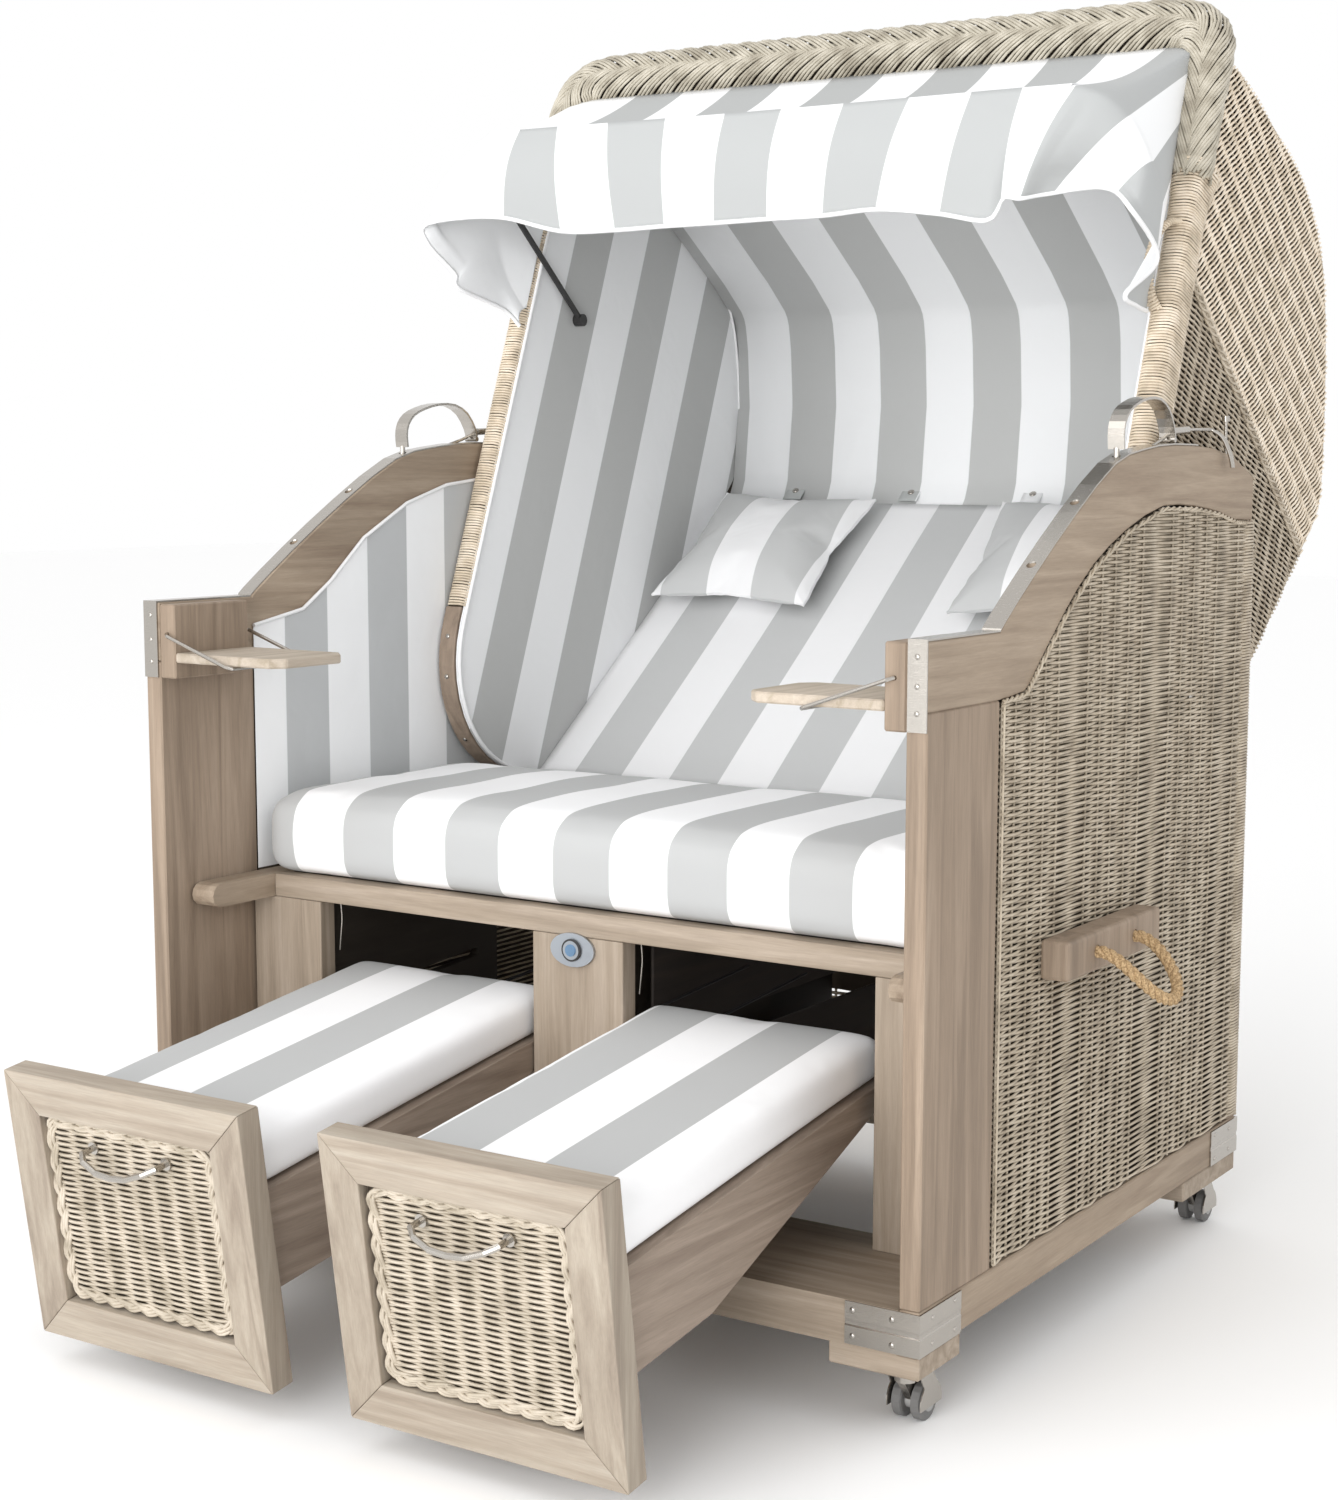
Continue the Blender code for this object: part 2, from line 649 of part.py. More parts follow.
def pad(width, depth, thickness, crown, pull, corner, columns, rows):
    # A stuffed pad with its base at z = 0. Levels go up the side on a quarter
    # circle, then the crowned top closes it; the flat base closes it below.
    def outline(level_inset):
        points = []
        for i in range(columns):
            points.append((-1 + 2 * i / columns, -1))
        for j in range(rows):
            points.append((1, -1 + 2 * j / rows))
        for i in range(columns):
            points.append((1 - 2 * i / columns, 1))
        for j in range(rows):
            points.append((-1, 1 - 2 * j / rows))
        placed = []
        for u, v in points:
            x = u * (width / 2 - level_inset) - u * pull * (1 - v * v) * (abs(u) == 1)
            y = v * (depth / 2 - level_inset) - v * pull * (1 - u * u) * (abs(v) == 1)
            if abs(u) == 1 and abs(v) == 1:
                x -= u * corner * pad_corner_share
                y -= v * corner * pad_corner_share
            placed.append((x, y))
        return placed

    bm = bmesh.new()
    loops = []
    for inset_share, corner_share, height_share in pad_level_shares:
        z = corner * corner_share + thickness * height_share
        loops.append([bm.verts.new((x, y, z)) for x, y in outline(corner * inset_share)])
    count = len(loops[0])
    for lower, upper in zip(loops, loops[1:]):
        for i in range(count):
            j = (i + 1) % count
            bm.faces.new((lower[i], lower[j], upper[j], upper[i]))
    bm.faces.new(loops[0])
    rim = loops[-1]
    grid = {}
    for index, vert in enumerate(rim):
        if index < columns:
            grid[(index, 0)] = vert
        elif index < columns + rows:
            grid[(columns, index - columns)] = vert
        elif index < 2 * columns + rows:
            grid[(2 * columns + rows - index, rows)] = vert
        else:
            grid[(0, 2 * (columns + rows) - index)] = vert
    inner_x = width / 2 - corner * pad_inset_share
    inner_y = depth / 2 - corner * pad_inset_share
    for i in range(1, columns):
        for j in range(1, rows):
            u = -1 + 2 * i / columns
            v = -1 + 2 * j / rows
            rise = (1 - u ** 4) * (1 - v ** 4)
            height = thickness + (crown - corner * pad_shoulder_share) * rise
            grid[(i, j)] = bm.verts.new((u * inner_x, v * inner_y, height))
    for i in range(columns):
        for j in range(rows):
            bm.faces.new((grid[(i, j)], grid[(i + 1, j)], grid[(i + 1, j + 1)], grid[(i, j + 1)]))
    return bm


# Seat cushion: one wide striped pad with a full front edge
cushion_half_width = 0.565
cushion_front_y = 0.158
cushion_depth = 0.457
cushion_thickness = 0.106
cushion_crown = 0.012
cushion_corner = 0.038
cushion_pull = 0.006
seat_cushion = add_object("seat_cushion",
                          pad(2 * cushion_half_width, cushion_depth, cushion_thickness, cushion_crown,
                              cushion_pull, cushion_corner, 14, 6),
                          chair, cloth_colour, 0.85, smooth=math.radians(70))
seat_cushion.location = (0, cushion_front_y + cushion_depth / 2, seat_rail_top_z + seat_gap)

# Folding side tables: a block on each front post, a hinged leaf, and a bent
# rod that hangs from the block and carries the leaf
table_block_depth = 0.140
table_block_thickness = 0.028
table_block_bottom_z = 0.820
table_block_height = 0.100
leaf_top_z = 0.855
leaf_thickness = 0.013
leaf_reach = 0.185
leaf_taper = 0.018
stay_radius = 0.0025
stay_pivot_z = 0.880
stay_pivot_inset = 0.013
stay_side_gap = 0.005
stay_exit = 0.0025
stay_bend = 0.006
stay_reach = 0.105
stay_seat = 0.010
leaf_gap = 0.0003

table_block_inner_x = plank_inner_x - seat_gap - table_block_thickness
leaf_hinge_x = table_block_inner_x - leaf_gap
stay_pivot_x = table_block_inner_x + stay_pivot_inset
stay_under_z = leaf_top_z - leaf_thickness - leaf_gap - stay_radius

for side, sign in sides:
    low_x, high_x = between(table_block_inner_x, table_block_inner_x + table_block_thickness, sign)
    block = add_object("table_mount_" + side,
                       box((low_x, 0, table_block_bottom_z),
                           (high_x, table_block_depth, table_block_bottom_z + table_block_height)),
                       chair, teak_colour)
    round_edges(block)
    for number, face_y in enumerate((0, table_block_depth)):
        cut(block, prism(ring_outline(stay_radius + leaf_gap, 10, (sign * stay_pivot_x, stay_pivot_z)), "y",
                         face_y - stay_seat - leaf_gap, face_y + stay_seat + leaf_gap), "stay_hole_%d" % number)
    leaf_axis = empty("table_axis_" + side, chair, (sign * leaf_hinge_x, 0, leaf_top_z))
    leaf_outline = [(0, 0), (-sign * (leaf_reach - leaf_taper), 0), (-sign * leaf_reach, leaf_taper),
                    (-sign * leaf_reach, table_block_depth - leaf_taper),
                    (-sign * (leaf_reach - leaf_taper), table_block_depth), (0, table_block_depth)]
    leaf = add_object("table_leaf_" + side, prism(leaf_outline, "z", -leaf_thickness, 0), leaf_axis, teak_colour)
    round_edges(leaf)
    stay_axis = empty("stay_axis_" + side, chair, (sign * stay_pivot_x, 0, stay_pivot_z))
    drop = stay_under_z - stay_pivot_z
    reach = stay_pivot_x - leaf_hinge_x + stay_reach
    front_leg_y = -stay_side_gap - stay_radius
    rear_leg_y = table_block_depth + stay_side_gap + stay_radius
    stay_route = [(0, stay_seat, 0), (0, -stay_exit, 0), (-sign * stay_bend, front_leg_y, drop * stay_bend / reach),
                  (-sign * (reach - stay_bend), front_leg_y, drop * (reach - stay_bend) / reach),
                  (-sign * reach, front_leg_y + stay_bend, drop),
                  (-sign * reach, rear_leg_y - stay_bend, drop),
                  (-sign * (reach - stay_bend), rear_leg_y, drop * (reach - stay_bend) / reach),
                  (-sign * stay_bend, rear_leg_y, drop * stay_bend / reach),
                  (0, table_block_depth + stay_exit, 0), (0, table_block_depth - stay_seat, 0)]
    add_object("table_stay_" + side, swept_tube(stay_route, stay_radius, 8), stay_axis, steel_colour, 0.25, 1.0)

# Casters: a stem and web that swivel, and twin wheels on one axle
wheel_radius = 0.023
caster_trail = 0.020
web_half = 0.0050
wheel_inner_half = 0.0060
wheel_outer_half = 0.0205
axle_radius = 0.0035
axle_clearance = 0.0004
fork_boss_radius = 0.0085
fork_hub_radius = 0.014
fork_web_share = 0.8
fork_hub_bottom_z = 0.050
fork_flange_radius = 0.021
fork_flange_thickness = 0.003
wheel_shoulder = 0.0025
wheel_segments = 18
fork_top_z = foot_block_bottom_z - seat_gap

for end, caster_y in (("front", front_caster_y), ("rear", rear_caster_y)):
    for side, sign in sides:
        label = end + "_" + side
        swivel = empty("swivel_axis_" + label, chair, (sign * caster_x, caster_y, 0))
        boss = arc((caster_trail, wheel_radius), fork_boss_radius, math.radians(-150), math.radians(40), 8)
        web_outline = boss + [(fork_hub_radius, fork_hub_bottom_z + fork_hub_radius),
                              (-fork_hub_radius * fork_web_share, fork_hub_bottom_z + fork_hub_radius),
                              (-fork_hub_radius * fork_web_share, fork_hub_bottom_z)]
        fork = add_object("caster_fork_" + label, prism(web_outline, "x", -web_half, web_half), swivel,
                          steel_colour, 0.35, 1.0)
        fuse(fork, upright_round(fork_hub_radius, fork_hub_bottom_z + glue_overlap,
                                 fork_top_z - fork_flange_thickness / 2, 14), "hub")
        fuse(fork, upright_round(fork_flange_radius, fork_top_z - fork_flange_thickness, fork_top_z, 18), "flange")
        fuse(fork, upright_round(stem_radius, fork_top_z - fork_flange_thickness / 2,
                                 fork_top_z + stem_hole_depth - seat_gap * 4, 12), "stem")
        cut(fork, prism(ring_outline(axle_radius + axle_clearance, 12, (caster_trail, wheel_radius)), "x",
                        -web_half - cut_overrun, web_half + cut_overrun), "axle_hole")
        axle = empty("wheel_axis_" + label, swivel, (0, caster_trail, wheel_radius))
        profile = [(-wheel_outer_half, wheel_radius - 2 * wheel_shoulder),
                   (-wheel_outer_half + wheel_shoulder, wheel_radius),
                   (-wheel_inner_half - wheel_shoulder / 2, wheel_radius),
                   (-wheel_inner_half, wheel_radius - wheel_shoulder), (-wheel_inner_half, axle_radius)]
        profile += [(-x, radius) for x, radius in reversed(profile)]
        add_object("caster_wheels_" + label, turned(profile, wheel_segments), axle, rubber_colour, 0.6,
                   smooth=math.radians(40))

# Footrests: a framed panel, side boards and a slatted bed in one box that
# turns and slides on its rod; the rod runs in the slots of the seat deck
panel_frame_width = 0.052
side_board_thickness = 0.018
side_board_inset = 0.0150
bed_drop = 0.1115
bed_thickness = 0.005
side_board_drop = 0.235
side_board_flat_end = 0.200
side_board_rear_drop = 0.1313
weave_recess = 0.008
weave_thickness = 0.019
pull_width = 0.120
pull_drop = 0.083
pull_bow = 0.034
pull_sag = 0.015
pull_radius = 0.004
pull_flange = 0.008
footrest_pad_top_drop = 0.045
footrest_pad_crown = 0.006
footrest_pad_corner = 0.018
footrest_pad_pull = 0.003
footrest_edge_round = 0.0015
weave_edge_round = 0.003

for side, sign in sides:
    rod_axis = empty("rod_axis_" + side, chair, (0, rod_y, rod_z))
    rod_ends = between(runner_inner_x - cut_overrun / 2, runner_outer_x + runner_thickness + cut_overrun / 2, sign)
    add_object("footrest_rod_" + side,
               turned([(rod_ends[0], rod_radius), (rod_ends[1], rod_radius)], 16), rod_axis, steel_colour, 0.3, 1.0)
    box_axis = empty("footrest_axis_" + side, rod_axis, turn_x=footrest_tilt)

    def local(s, h):
        return s - rod_setback, h + rod_drop

    low_x, high_x = between(footrest_inner_x, footrest_inner_x + footrest_width, sign)
    panel_y, panel_top = local(0, 0)
    x_lines = [low_x, low_x + panel_frame_width, high_x - panel_frame_width, high_x]
    z_lines = [panel_top - footrest_height, panel_top - footrest_height + panel_frame_width,
               panel_top - panel_frame_width, panel_top]
    footrest = add_object("footrest_box_" + side,
                          lattice(x_lines, z_lines, lambda i, j: (i, j) != (1, 1), "y",
                                  panel_y, panel_y + footrest_panel_thickness),
                          box_axis, teak_colour)
    round_edges(footrest, footrest_edge_round)
    start = footrest_panel_thickness - glue_overlap
    board_outline = [local(start, -bed_drop), local(start, -side_board_drop),
                     local(side_board_flat_end, -side_board_drop), local(box_depth, -side_board_rear_drop),
                     local(box_depth, -bed_drop)]
    board_low, board_high = low_x + side_board_inset, high_x - side_board_inset
    for place, x0 in (("a", board_low), ("b", board_high - side_board_thickness)):
        fuse(footrest, prism(board_outline, "x", x0, x0 + side_board_thickness), "side_board_" + place)
    bed_front_y, bed_z = local(start, -bed_drop)
    bed_rear_y = local(box_depth, 0)[0]
    fuse(footrest, box((board_low + side_board_thickness - glue_overlap, bed_front_y, bed_z - bed_thickness),
                       (board_high - side_board_thickness + glue_overlap, bed_rear_y - glue_overlap,
                        bed_z - glue_overlap / 3)), "bed")
    cut(footrest, prism(ring_outline(rod_radius + 2 * rod_clearance, 16, (0, 0)), "x",
                        low_x - cut_overrun, high_x + cut_overrun), "rod_hole")

    weave_y = local(weave_recess, 0)[0]
    weave = add_object("footrest_weave_" + side,
                       box((x_lines[1] + seat_gap, weave_y, z_lines[1] + seat_gap),
                           (x_lines[2] - seat_gap, weave_y + weave_thickness, z_lines[2] - seat_gap)),
                       box_axis, wicker_colour, 0.7)
    round_edges(weave, weave_edge_round)

    middle_x = (low_x + high_x) / 2
    grip_z = panel_top - pull_drop
    grip_end_y = weave_y - seat_gap
    grip = []
    for share, out_share, sag_share in ((-1, 0, 0), (-1, 0.55, 0), (-0.8, 0.85, 0.35), (-0.4, 1, 0.85), (0, 1, 1),
                                        (0.4, 1, 0.85), (0.8, 0.85, 0.35), (1, 0.55, 0), (1, 0, 0)):
        grip.append((middle_x + share * pull_width / 2, grip_end_y - pull_bow * out_share,
                     grip_z - pull_sag * sag_share))
    pull = add_object("footrest_pull_" + side, swept_tube(grip, pull_radius, 8), box_axis, steel_colour, 0.25, 1.0)
    for number, share in enumerate((-1, 1)):
        fuse(pull, prism(ring_outline(pull_flange, 12, (middle_x + share * pull_width / 2, grip_z)), "y",
                         grip_end_y - pull_radius / 2, grip_end_y - seat_gap), "flange_%d" % number)

    pad_gap = seat_gap
    pad_front = footrest_panel_thickness + pad_gap
    pad_depth = box_depth - pad_gap - pad_front
    pad_thickness = bed_drop - pad_gap - footrest_pad_top_drop - footrest_pad_crown
    foot_pad = add_object("footrest_cushion_" + side,
                          pad(board_high - board_low, pad_depth, pad_thickness, footrest_pad_crown,
                              footrest_pad_pull, footrest_pad_corner, 6, 8),
                          box_axis, cloth_colour, 0.85, smooth=math.radians(70))
    pad_y, pad_z = local(pad_front + pad_depth / 2, -bed_drop + pad_gap)
    foot_pad.location = (middle_x, pad_y, pad_z)

# Hood. In its frame y points back and z up along the pillars; the origin is
# the pivot. The lower back wall is tangent to the leg's circle.
hood = empty("hood_axis", chair, (0, pivot_y, pivot_z), -hood_recline)
rim_depth = 0.085
rim_height = 0.068
rim_bottom = 0.885
rim_points = 14
rim_round_share = 0.7
leg_end_angle = math.radians(292)
leg_steps = 12
wall_foot = 0.100
pivot_washer_radius = 0.030
washer_clearance = 0.0006
hood_outline_shares = ((1.0, 0.552), (0.865, 0.755), (0.714, 0.890), (0.526, 0.956),
                       (0.399, 0.979), (0.147, 0.992), (-0.137, 1.0))


def on_wall(out, along):
    # A point out from the pivot, square to the lower back wall, and along it
    return (out * math.cos(backrest_lean) + along * math.sin(backrest_lean),
            -out * math.sin(backrest_lean) + along * math.cos(backrest_lean))


wall_length = (hood_back_reach - leg_radius * math.cos(backrest_lean)) / math.sin(backrest_lean)
strip_inner_radius = leg_radius - leg_width
shell_front = -(strip_inner_radius - seat_gap)
rim_rear = -leg_radius + rim_depth
rounded_back = smooth_line([on_wall(leg_radius, wall_length)] +
                           [(hood_back_reach * back, hood_height * up) for back, up in hood_outline_shares] +
                           [(rim_rear + seat_gap, rim_bottom - seat_gap)], 2)
shell_outline = [(shell_front, rim_bottom - seat_gap)]
shell_outline += arc((0, 0), strip_inner_radius - seat_gap, math.pi, leg_end_angle + math.radians(1.5), leg_steps)
shell_outline += [on_wall(leg_radius - back_wall - glue_overlap, -wall_foot), on_wall(leg_radius, -wall_foot)]
shell_outline += rounded_back
shell = add_object("hood_shell", prism(shell_outline, "x", -hood_half_width, hood_half_width), hood,
                   wicker_colour, 0.7)


def inset_line(line, inset):
    # The line moved inwards (to its left) by inset, point by point
    moved = []
    for i, point in enumerate(line):
        before = Vector(line[max(i - 1, 0)])
        after = Vector(line[min(i + 1, len(line) - 1)])
        along = (after - before).normalized()
        moved.append((point[0] - along.y * inset, point[1] + along.x * inset))
    return moved


cavity_reach = 0.080
cavity_wall_share = 0.985
cavity = [(-leg_radius - cavity_reach, -leg_radius - cavity_reach)]
cavity += [on_wall(leg_radius - back_wall, -wall_foot - 2 * cavity_reach)]
cavity += [on_wall(leg_radius - back_wall, wall_length * cavity_wall_share)]
cavity += inset_line(rounded_back, hood_wall)[1:]
cavity += [(-leg_radius - cavity_reach, rim_bottom - hood_wall)]
cut(shell, prism(cavity, "x", -hood_half_width + hood_wall, hood_half_width - hood_wall), "cavity")
washer_outer_x = panel_inner_x - washer_clearance
for side, sign in sides:
    low_x, high_x = between(hood_half_width - hood_wall / 2, washer_outer_x, sign)
    fuse(shell, prism(ring_outline(pivot_washer_radius, 24, (0, 0)), "x", low_x, high_x), "washer_" + side)
    low_x, high_x = between(washer_outer_x - glue_overlap, panel_outer_x, sign)
    fuse(shell, prism(ring_outline(pivot_bolt_radius, 16, (0, 0)), "x", low_x, high_x), "bolt_" + side)

# Hood frame: two wrapped pillars that end in curved wooden legs, and the thick
# braided rim that joins them across the top
rim_centre = (-leg_radius + rim_depth / 2, rim_bottom + rim_height / 2)
rim_outline = []
for k in range(rim_points):
    angle = 2 * math.pi * (k + 0.5) / rim_points
    rim_outline.append((rim_centre[0] + rim_depth / 2 * math.copysign(abs(math.cos(angle)) ** rim_round_share, math.cos(angle)),
                        rim_centre[1] + rim_height / 2 * math.copysign(abs(math.sin(angle)) ** rim_round_share, math.sin(angle))))
rim_half_length = pillar_outer_x + glue_overlap
hood_frame = add_object("hood_frame", prism(rim_outline, "x", -rim_half_length, rim_half_length), hood,
                        wicker_colour, 0.7)
strip_top = rim_bottom + rim_height / 3
strip_outline = [(-leg_radius, strip_top)] + arc((0, 0), leg_radius, math.pi, leg_end_angle, leg_steps)
strip_outline += list(reversed(arc((0, 0), strip_inner_radius, math.pi, leg_end_angle, leg_steps)))
strip_outline += [(-strip_inner_radius, strip_top)]
for side, sign in sides:
    low_x, high_x = between(pillar_inner_x, pillar_outer_x, sign)
    fuse(hood_frame, prism(strip_outline, "x", low_x, high_x), "pillar_" + side)

# Backrest: a long upholstered pad on the lower back wall
wall_plane = empty("wall_plane", hood, turn_x=math.pi / 2 - backrest_lean)
backrest_thickness = 0.014
backrest_crown = 0.001
backrest_side_gap = 0.0005
backrest_corner = 0.008
backrest_face = -(leg_radius - back_wall - seat_gap)
backrest_width = 2 * (hood_half_width - hood_wall - backrest_side_gap)
backrest_foot = wall_foot
backrest_head_gap = 0.020
backrest_length = backrest_foot + wall_length - backrest_head_gap
backrest = add_object("backrest", pad(backrest_width, backrest_length, backrest_thickness, backrest_crown, 0,
                                      backrest_corner, 10, 6),
                      wall_plane, cloth_colour, 0.85, smooth=math.radians(70))
backrest.location = (0, -backrest_foot + backrest_length / 2, backrest_face)

# Pillows: two small stuffed head cushions that lie on the backrest
pillow_width = 0.310
pillow_height = 0.290
pillow_thickness = 0.045
pillow_crown = 0.030
pillow_pull = 0.018
pillow_corner = 0.030
pillow_foot = 0.285
pillow_centre_shares = (-0.648, 0.394)

for side, share in zip(("left", "right"), pillow_centre_shares):
    pillow = add_object("pillow_" + side,
                        pad(pillow_width, pillow_height, pillow_thickness, pillow_crown, pillow_pull,
                            pillow_corner, 8, 8),
                        wall_plane, cloth_colour, 0.85, smooth=math.radians(70))
    pillow.location = (share * backrest_width / 2, pillow_foot + pillow_height / 2,
                       backrest_face + backrest_thickness + backrest_crown
                       - backrest_corner * pad_shoulder_share + seat_gap)

# Awning bail: a bent bar pivoted inside the hood, its cross bar in front
bail_pivot_shares = (-0.342, 0.621)
bail_bar_shares = (0.714, 0.157)
bail_pivot_back = leg_radius * bail_pivot_shares[0]
bail_pivot_up = hood_height * bail_pivot_shares[1]
bail_reach = hood_back_reach * bail_bar_shares[0]
bail_lift = hood_height * bail_bar_shares[1]
bail_radius = 0.005
bail_boss_radius = 0.010
boss_lap_share = 1.2
bail_wall_gap = 0.0003
bail_corner = 0.090
bail_corner_steps = 6
bail_arm_inset = 0.0105
bail_arm_x = hood_half_width - hood_wall - bail_arm_inset
bail_length = math.hypot(bail_reach, bail_lift)
bail_axis = empty("bail_axis", hood, (0, bail_pivot_back, bail_pivot_up))
bail_side = [(bail_arm_x, 0)]
for k in range(bail_corner_steps + 1):
    angle = math.pi / 2 * k / bail_corner_steps
    bail_side.append((bail_arm_x - bail_corner * (1 - math.cos(angle)),
                      bail_length - bail_corner * (1 - math.sin(angle))))
bail_line = [(-x, along) for x, along in bail_side] + list(reversed(bail_side))
bail_route = [(x, -bail_reach * along / bail_length, bail_lift * along / bail_length) for x, along in bail_line]
bail = add_object("awning_bail", swept_tube(bail_route, bail_radius, 8), bail_axis, black_colour, 0.5)
for side, sign in sides:
    low_x, high_x = between(bail_arm_x - bail_radius * boss_lap_share, hood_half_width - hood_wall - bail_wall_gap, sign)
    fuse(bail, prism(ring_outline(bail_boss_radius, 14, (0, 0)), "x", low_x, high_x), "boss_" + side)

# Awning: striped cloth from the rim over the bail, with a hanging front hem
# and a wing on each side
awning_sheet = 0.003
awning_side_lap = 0.0035
awning_half_width = pillar_outer_x + awning_side_lap
awning_drop = 0.142
awning_columns = 24
awning_top_rows = 5
awning_hem_rows = 4
awning_rim_gap = 0.0005
awning_grip_share = 0.45
awning_fold_depth = 0.010
awning_fold_count = 7
awning_rear = (-leg_radius - awning_rim_gap, rim_bottom + rim_height * awning_grip_share)
awning_lap = 0.011
awning_front = (bail_pivot_back - bail_reach - awning_lap, bail_pivot_up + bail_lift + bail_radius + awning_sheet)
awning_reach = awning_rear[0] - awning_front[0]
awning_sag = 0.030
hem_shares = ((0.184, 1.035), (0.079, 1.127), (0.413, 1.359), (1.177, 1.387))
hem_front, hem_corner, hem_middle, hem_rear = [
    (awning_front[0] + awning_reach * back, awning_front[1] - awning_drop * drop) for back, drop in hem_shares]
wing_flare = 0.006
wing_middle_share = 0.6
fold_share = 0.8


def mix(a, b, t):
    return tuple(p + (q - p) * t for p, q in zip(a, b))


awning_bm = bmesh.new()
awning_verts = {}


def awning_vert(key, x, back, up):
    if key not in awning_verts:
        awning_verts[key] = awning_bm.verts.new((x, back, up))
    return awning_verts[key]


def top_vert(i, j):
    # j runs from the rim (0) to the bail (awning_top_rows)
    t = j / awning_top_rows
    back, up = mix(awning_rear, awning_front, t)
    u = 2 * i / awning_columns - 1
    sag = awning_sag * math.sin(math.pi * t) * (1 - u ** 4)
    return awning_vert(("top", i, j), u * awning_half_width, back, up - sag)


def front_vert(i, j):
    # j runs from the bail (0) to the hem
    if j == 0:
        return top_vert(i, awning_top_rows)
    t = j / awning_hem_rows
    u = 2 * i / awning_columns - 1
    bottom = mix(hem_front, hem_corner, abs(u) ** 6)
    back, up = mix(awning_front, bottom, t)
    fold = awning_fold_depth * math.sin(awning_fold_count * math.pi * u) * t * t
    return awning_vert(("front", i, j), u * awning_half_width, back - fold * fold_share * (1 - abs(u) ** 8), up)


def wing_vert(sign, j, m):
    # j runs along the top from the rim to the bail, m from the top to the hem
    column = awning_columns if sign > 0 else 0
    if m == 0:
        return top_vert(column, j)
    if j == awning_top_rows:
        return front_vert(column, m)
    t = j / awning_top_rows
    top = mix(awning_rear, awning_front, t)
    if t < wing_middle_share:
        hem = mix(hem_rear, hem_middle, t / wing_middle_share)
    else:
        hem = mix(hem_middle, hem_corner, (t - wing_middle_share) / (1 - wing_middle_share))
    s = m / awning_hem_rows
    back, up = mix(top, hem, s)
    out = awning_half_width + wing_flare * math.sin(math.pi * t) * s
    return awning_vert(("wing", sign, j, m), sign * out, back, up)


def awning_face(corners):
    awning_bm.faces.new(corners)


for i in range(awning_columns):
    for j in range(awning_top_rows):
        awning_face((top_vert(i, j), top_vert(i + 1, j), top_vert(i + 1, j + 1), top_vert(i, j + 1)))
    for j in range(awning_hem_rows):
        awning_face((front_vert(i, j), front_vert(i + 1, j), front_vert(i + 1, j + 1), front_vert(i, j + 1)))
for side, sign in sides:
    for j in range(awning_top_rows):
        for m in range(awning_hem_rows):
            awning_face((wing_vert(sign, j, m), wing_vert(sign, j + 1, m),
                         wing_vert(sign, j + 1, m + 1), wing_vert(sign, j, m + 1)))
awning = add_object("awning", awning_bm, hood, cloth_colour, 0.85)
thick = awning.modifiers.new("cloth", "SOLIDIFY")
thick.thickness = awning_sheet
thick.offset = 0.0

# Hood latches: a flat strip bent to a loop over the armrest, hinged at its
# rear foot, with a pin under its front foot that sits in the strap's hole
latch_strip = 0.0225
latch_sheet = 0.0035
latch_knuckle = 0.004
latch_pin_radius = 0.0040
latch_pin_depth = 0.009
latch_length = 0.167
latch_rise = 0.064
latch_loop_shares = ((0.0, 0.13), (-0.012, 0.40), (0.012, 0.66), (0.10, 0.86), (0.25, 0.96), (0.45, 1.0),
                     (0.68, 0.92), (0.86, 0.66), (0.97, 0.28), (1.0, 0.06))
latch_front_y = base_depth * latch_hole_y_shares[-1]
latch_pivot_y = latch_front_y + latch_length
strap_top_front = height_on(arm_top_line, latch_front_y) + seat_gap + strap_sheet
strap_top_rear = height_on(arm_top_line, latch_pivot_y) + seat_gap + strap_sheet
latch_pivot_z = strap_top_rear + seat_gap * 2 + latch_knuckle

for side, sign in sides:
    axis = empty("latch_axis_" + side, chair, (0, latch_pivot_y, latch_pivot_z))
    strip_middle = outer_x - seat_gap - strap_width / 2
    low_x, high_x = between(strip_middle - latch_strip / 2, strip_middle + latch_strip / 2, sign)
    base_z = strap_top_front + seat_gap * 2 - latch_pivot_z
    loop = []
    for along, up in latch_loop_shares:
        foot = base_z * (1 - along)
        loop.append((latch_length * (along - 1), foot + latch_rise * up))
    loop = smooth_line(loop, 2)
    outer_line = inset_line(loop, latch_sheet / 2)
    inner_line = inset_line(loop, -latch_sheet / 2)
    latch = add_object("latch_" + side, prism(outer_line + list(reversed(inner_line)), "x", low_x, high_x), axis,
                       steel_colour, 0.25, 1.0)
    fuse(latch, prism(ring_outline(latch_knuckle, 12, (0, 0)), "x", low_x + seat_gap, high_x - seat_gap), "knuckle")
    foot_z = base_z + latch_rise * latch_loop_shares[0][1]
    fuse(latch, upright_round(latch_pin_radius, base_z - seat_gap * 2 - strap_sheet - latch_pin_depth,
                              foot_z + latch_sheet / 2, 10, (sign * strip_middle, -latch_length)), "pin")
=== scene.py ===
import math

import bpy
from mathutils import Matrix, Vector, noise


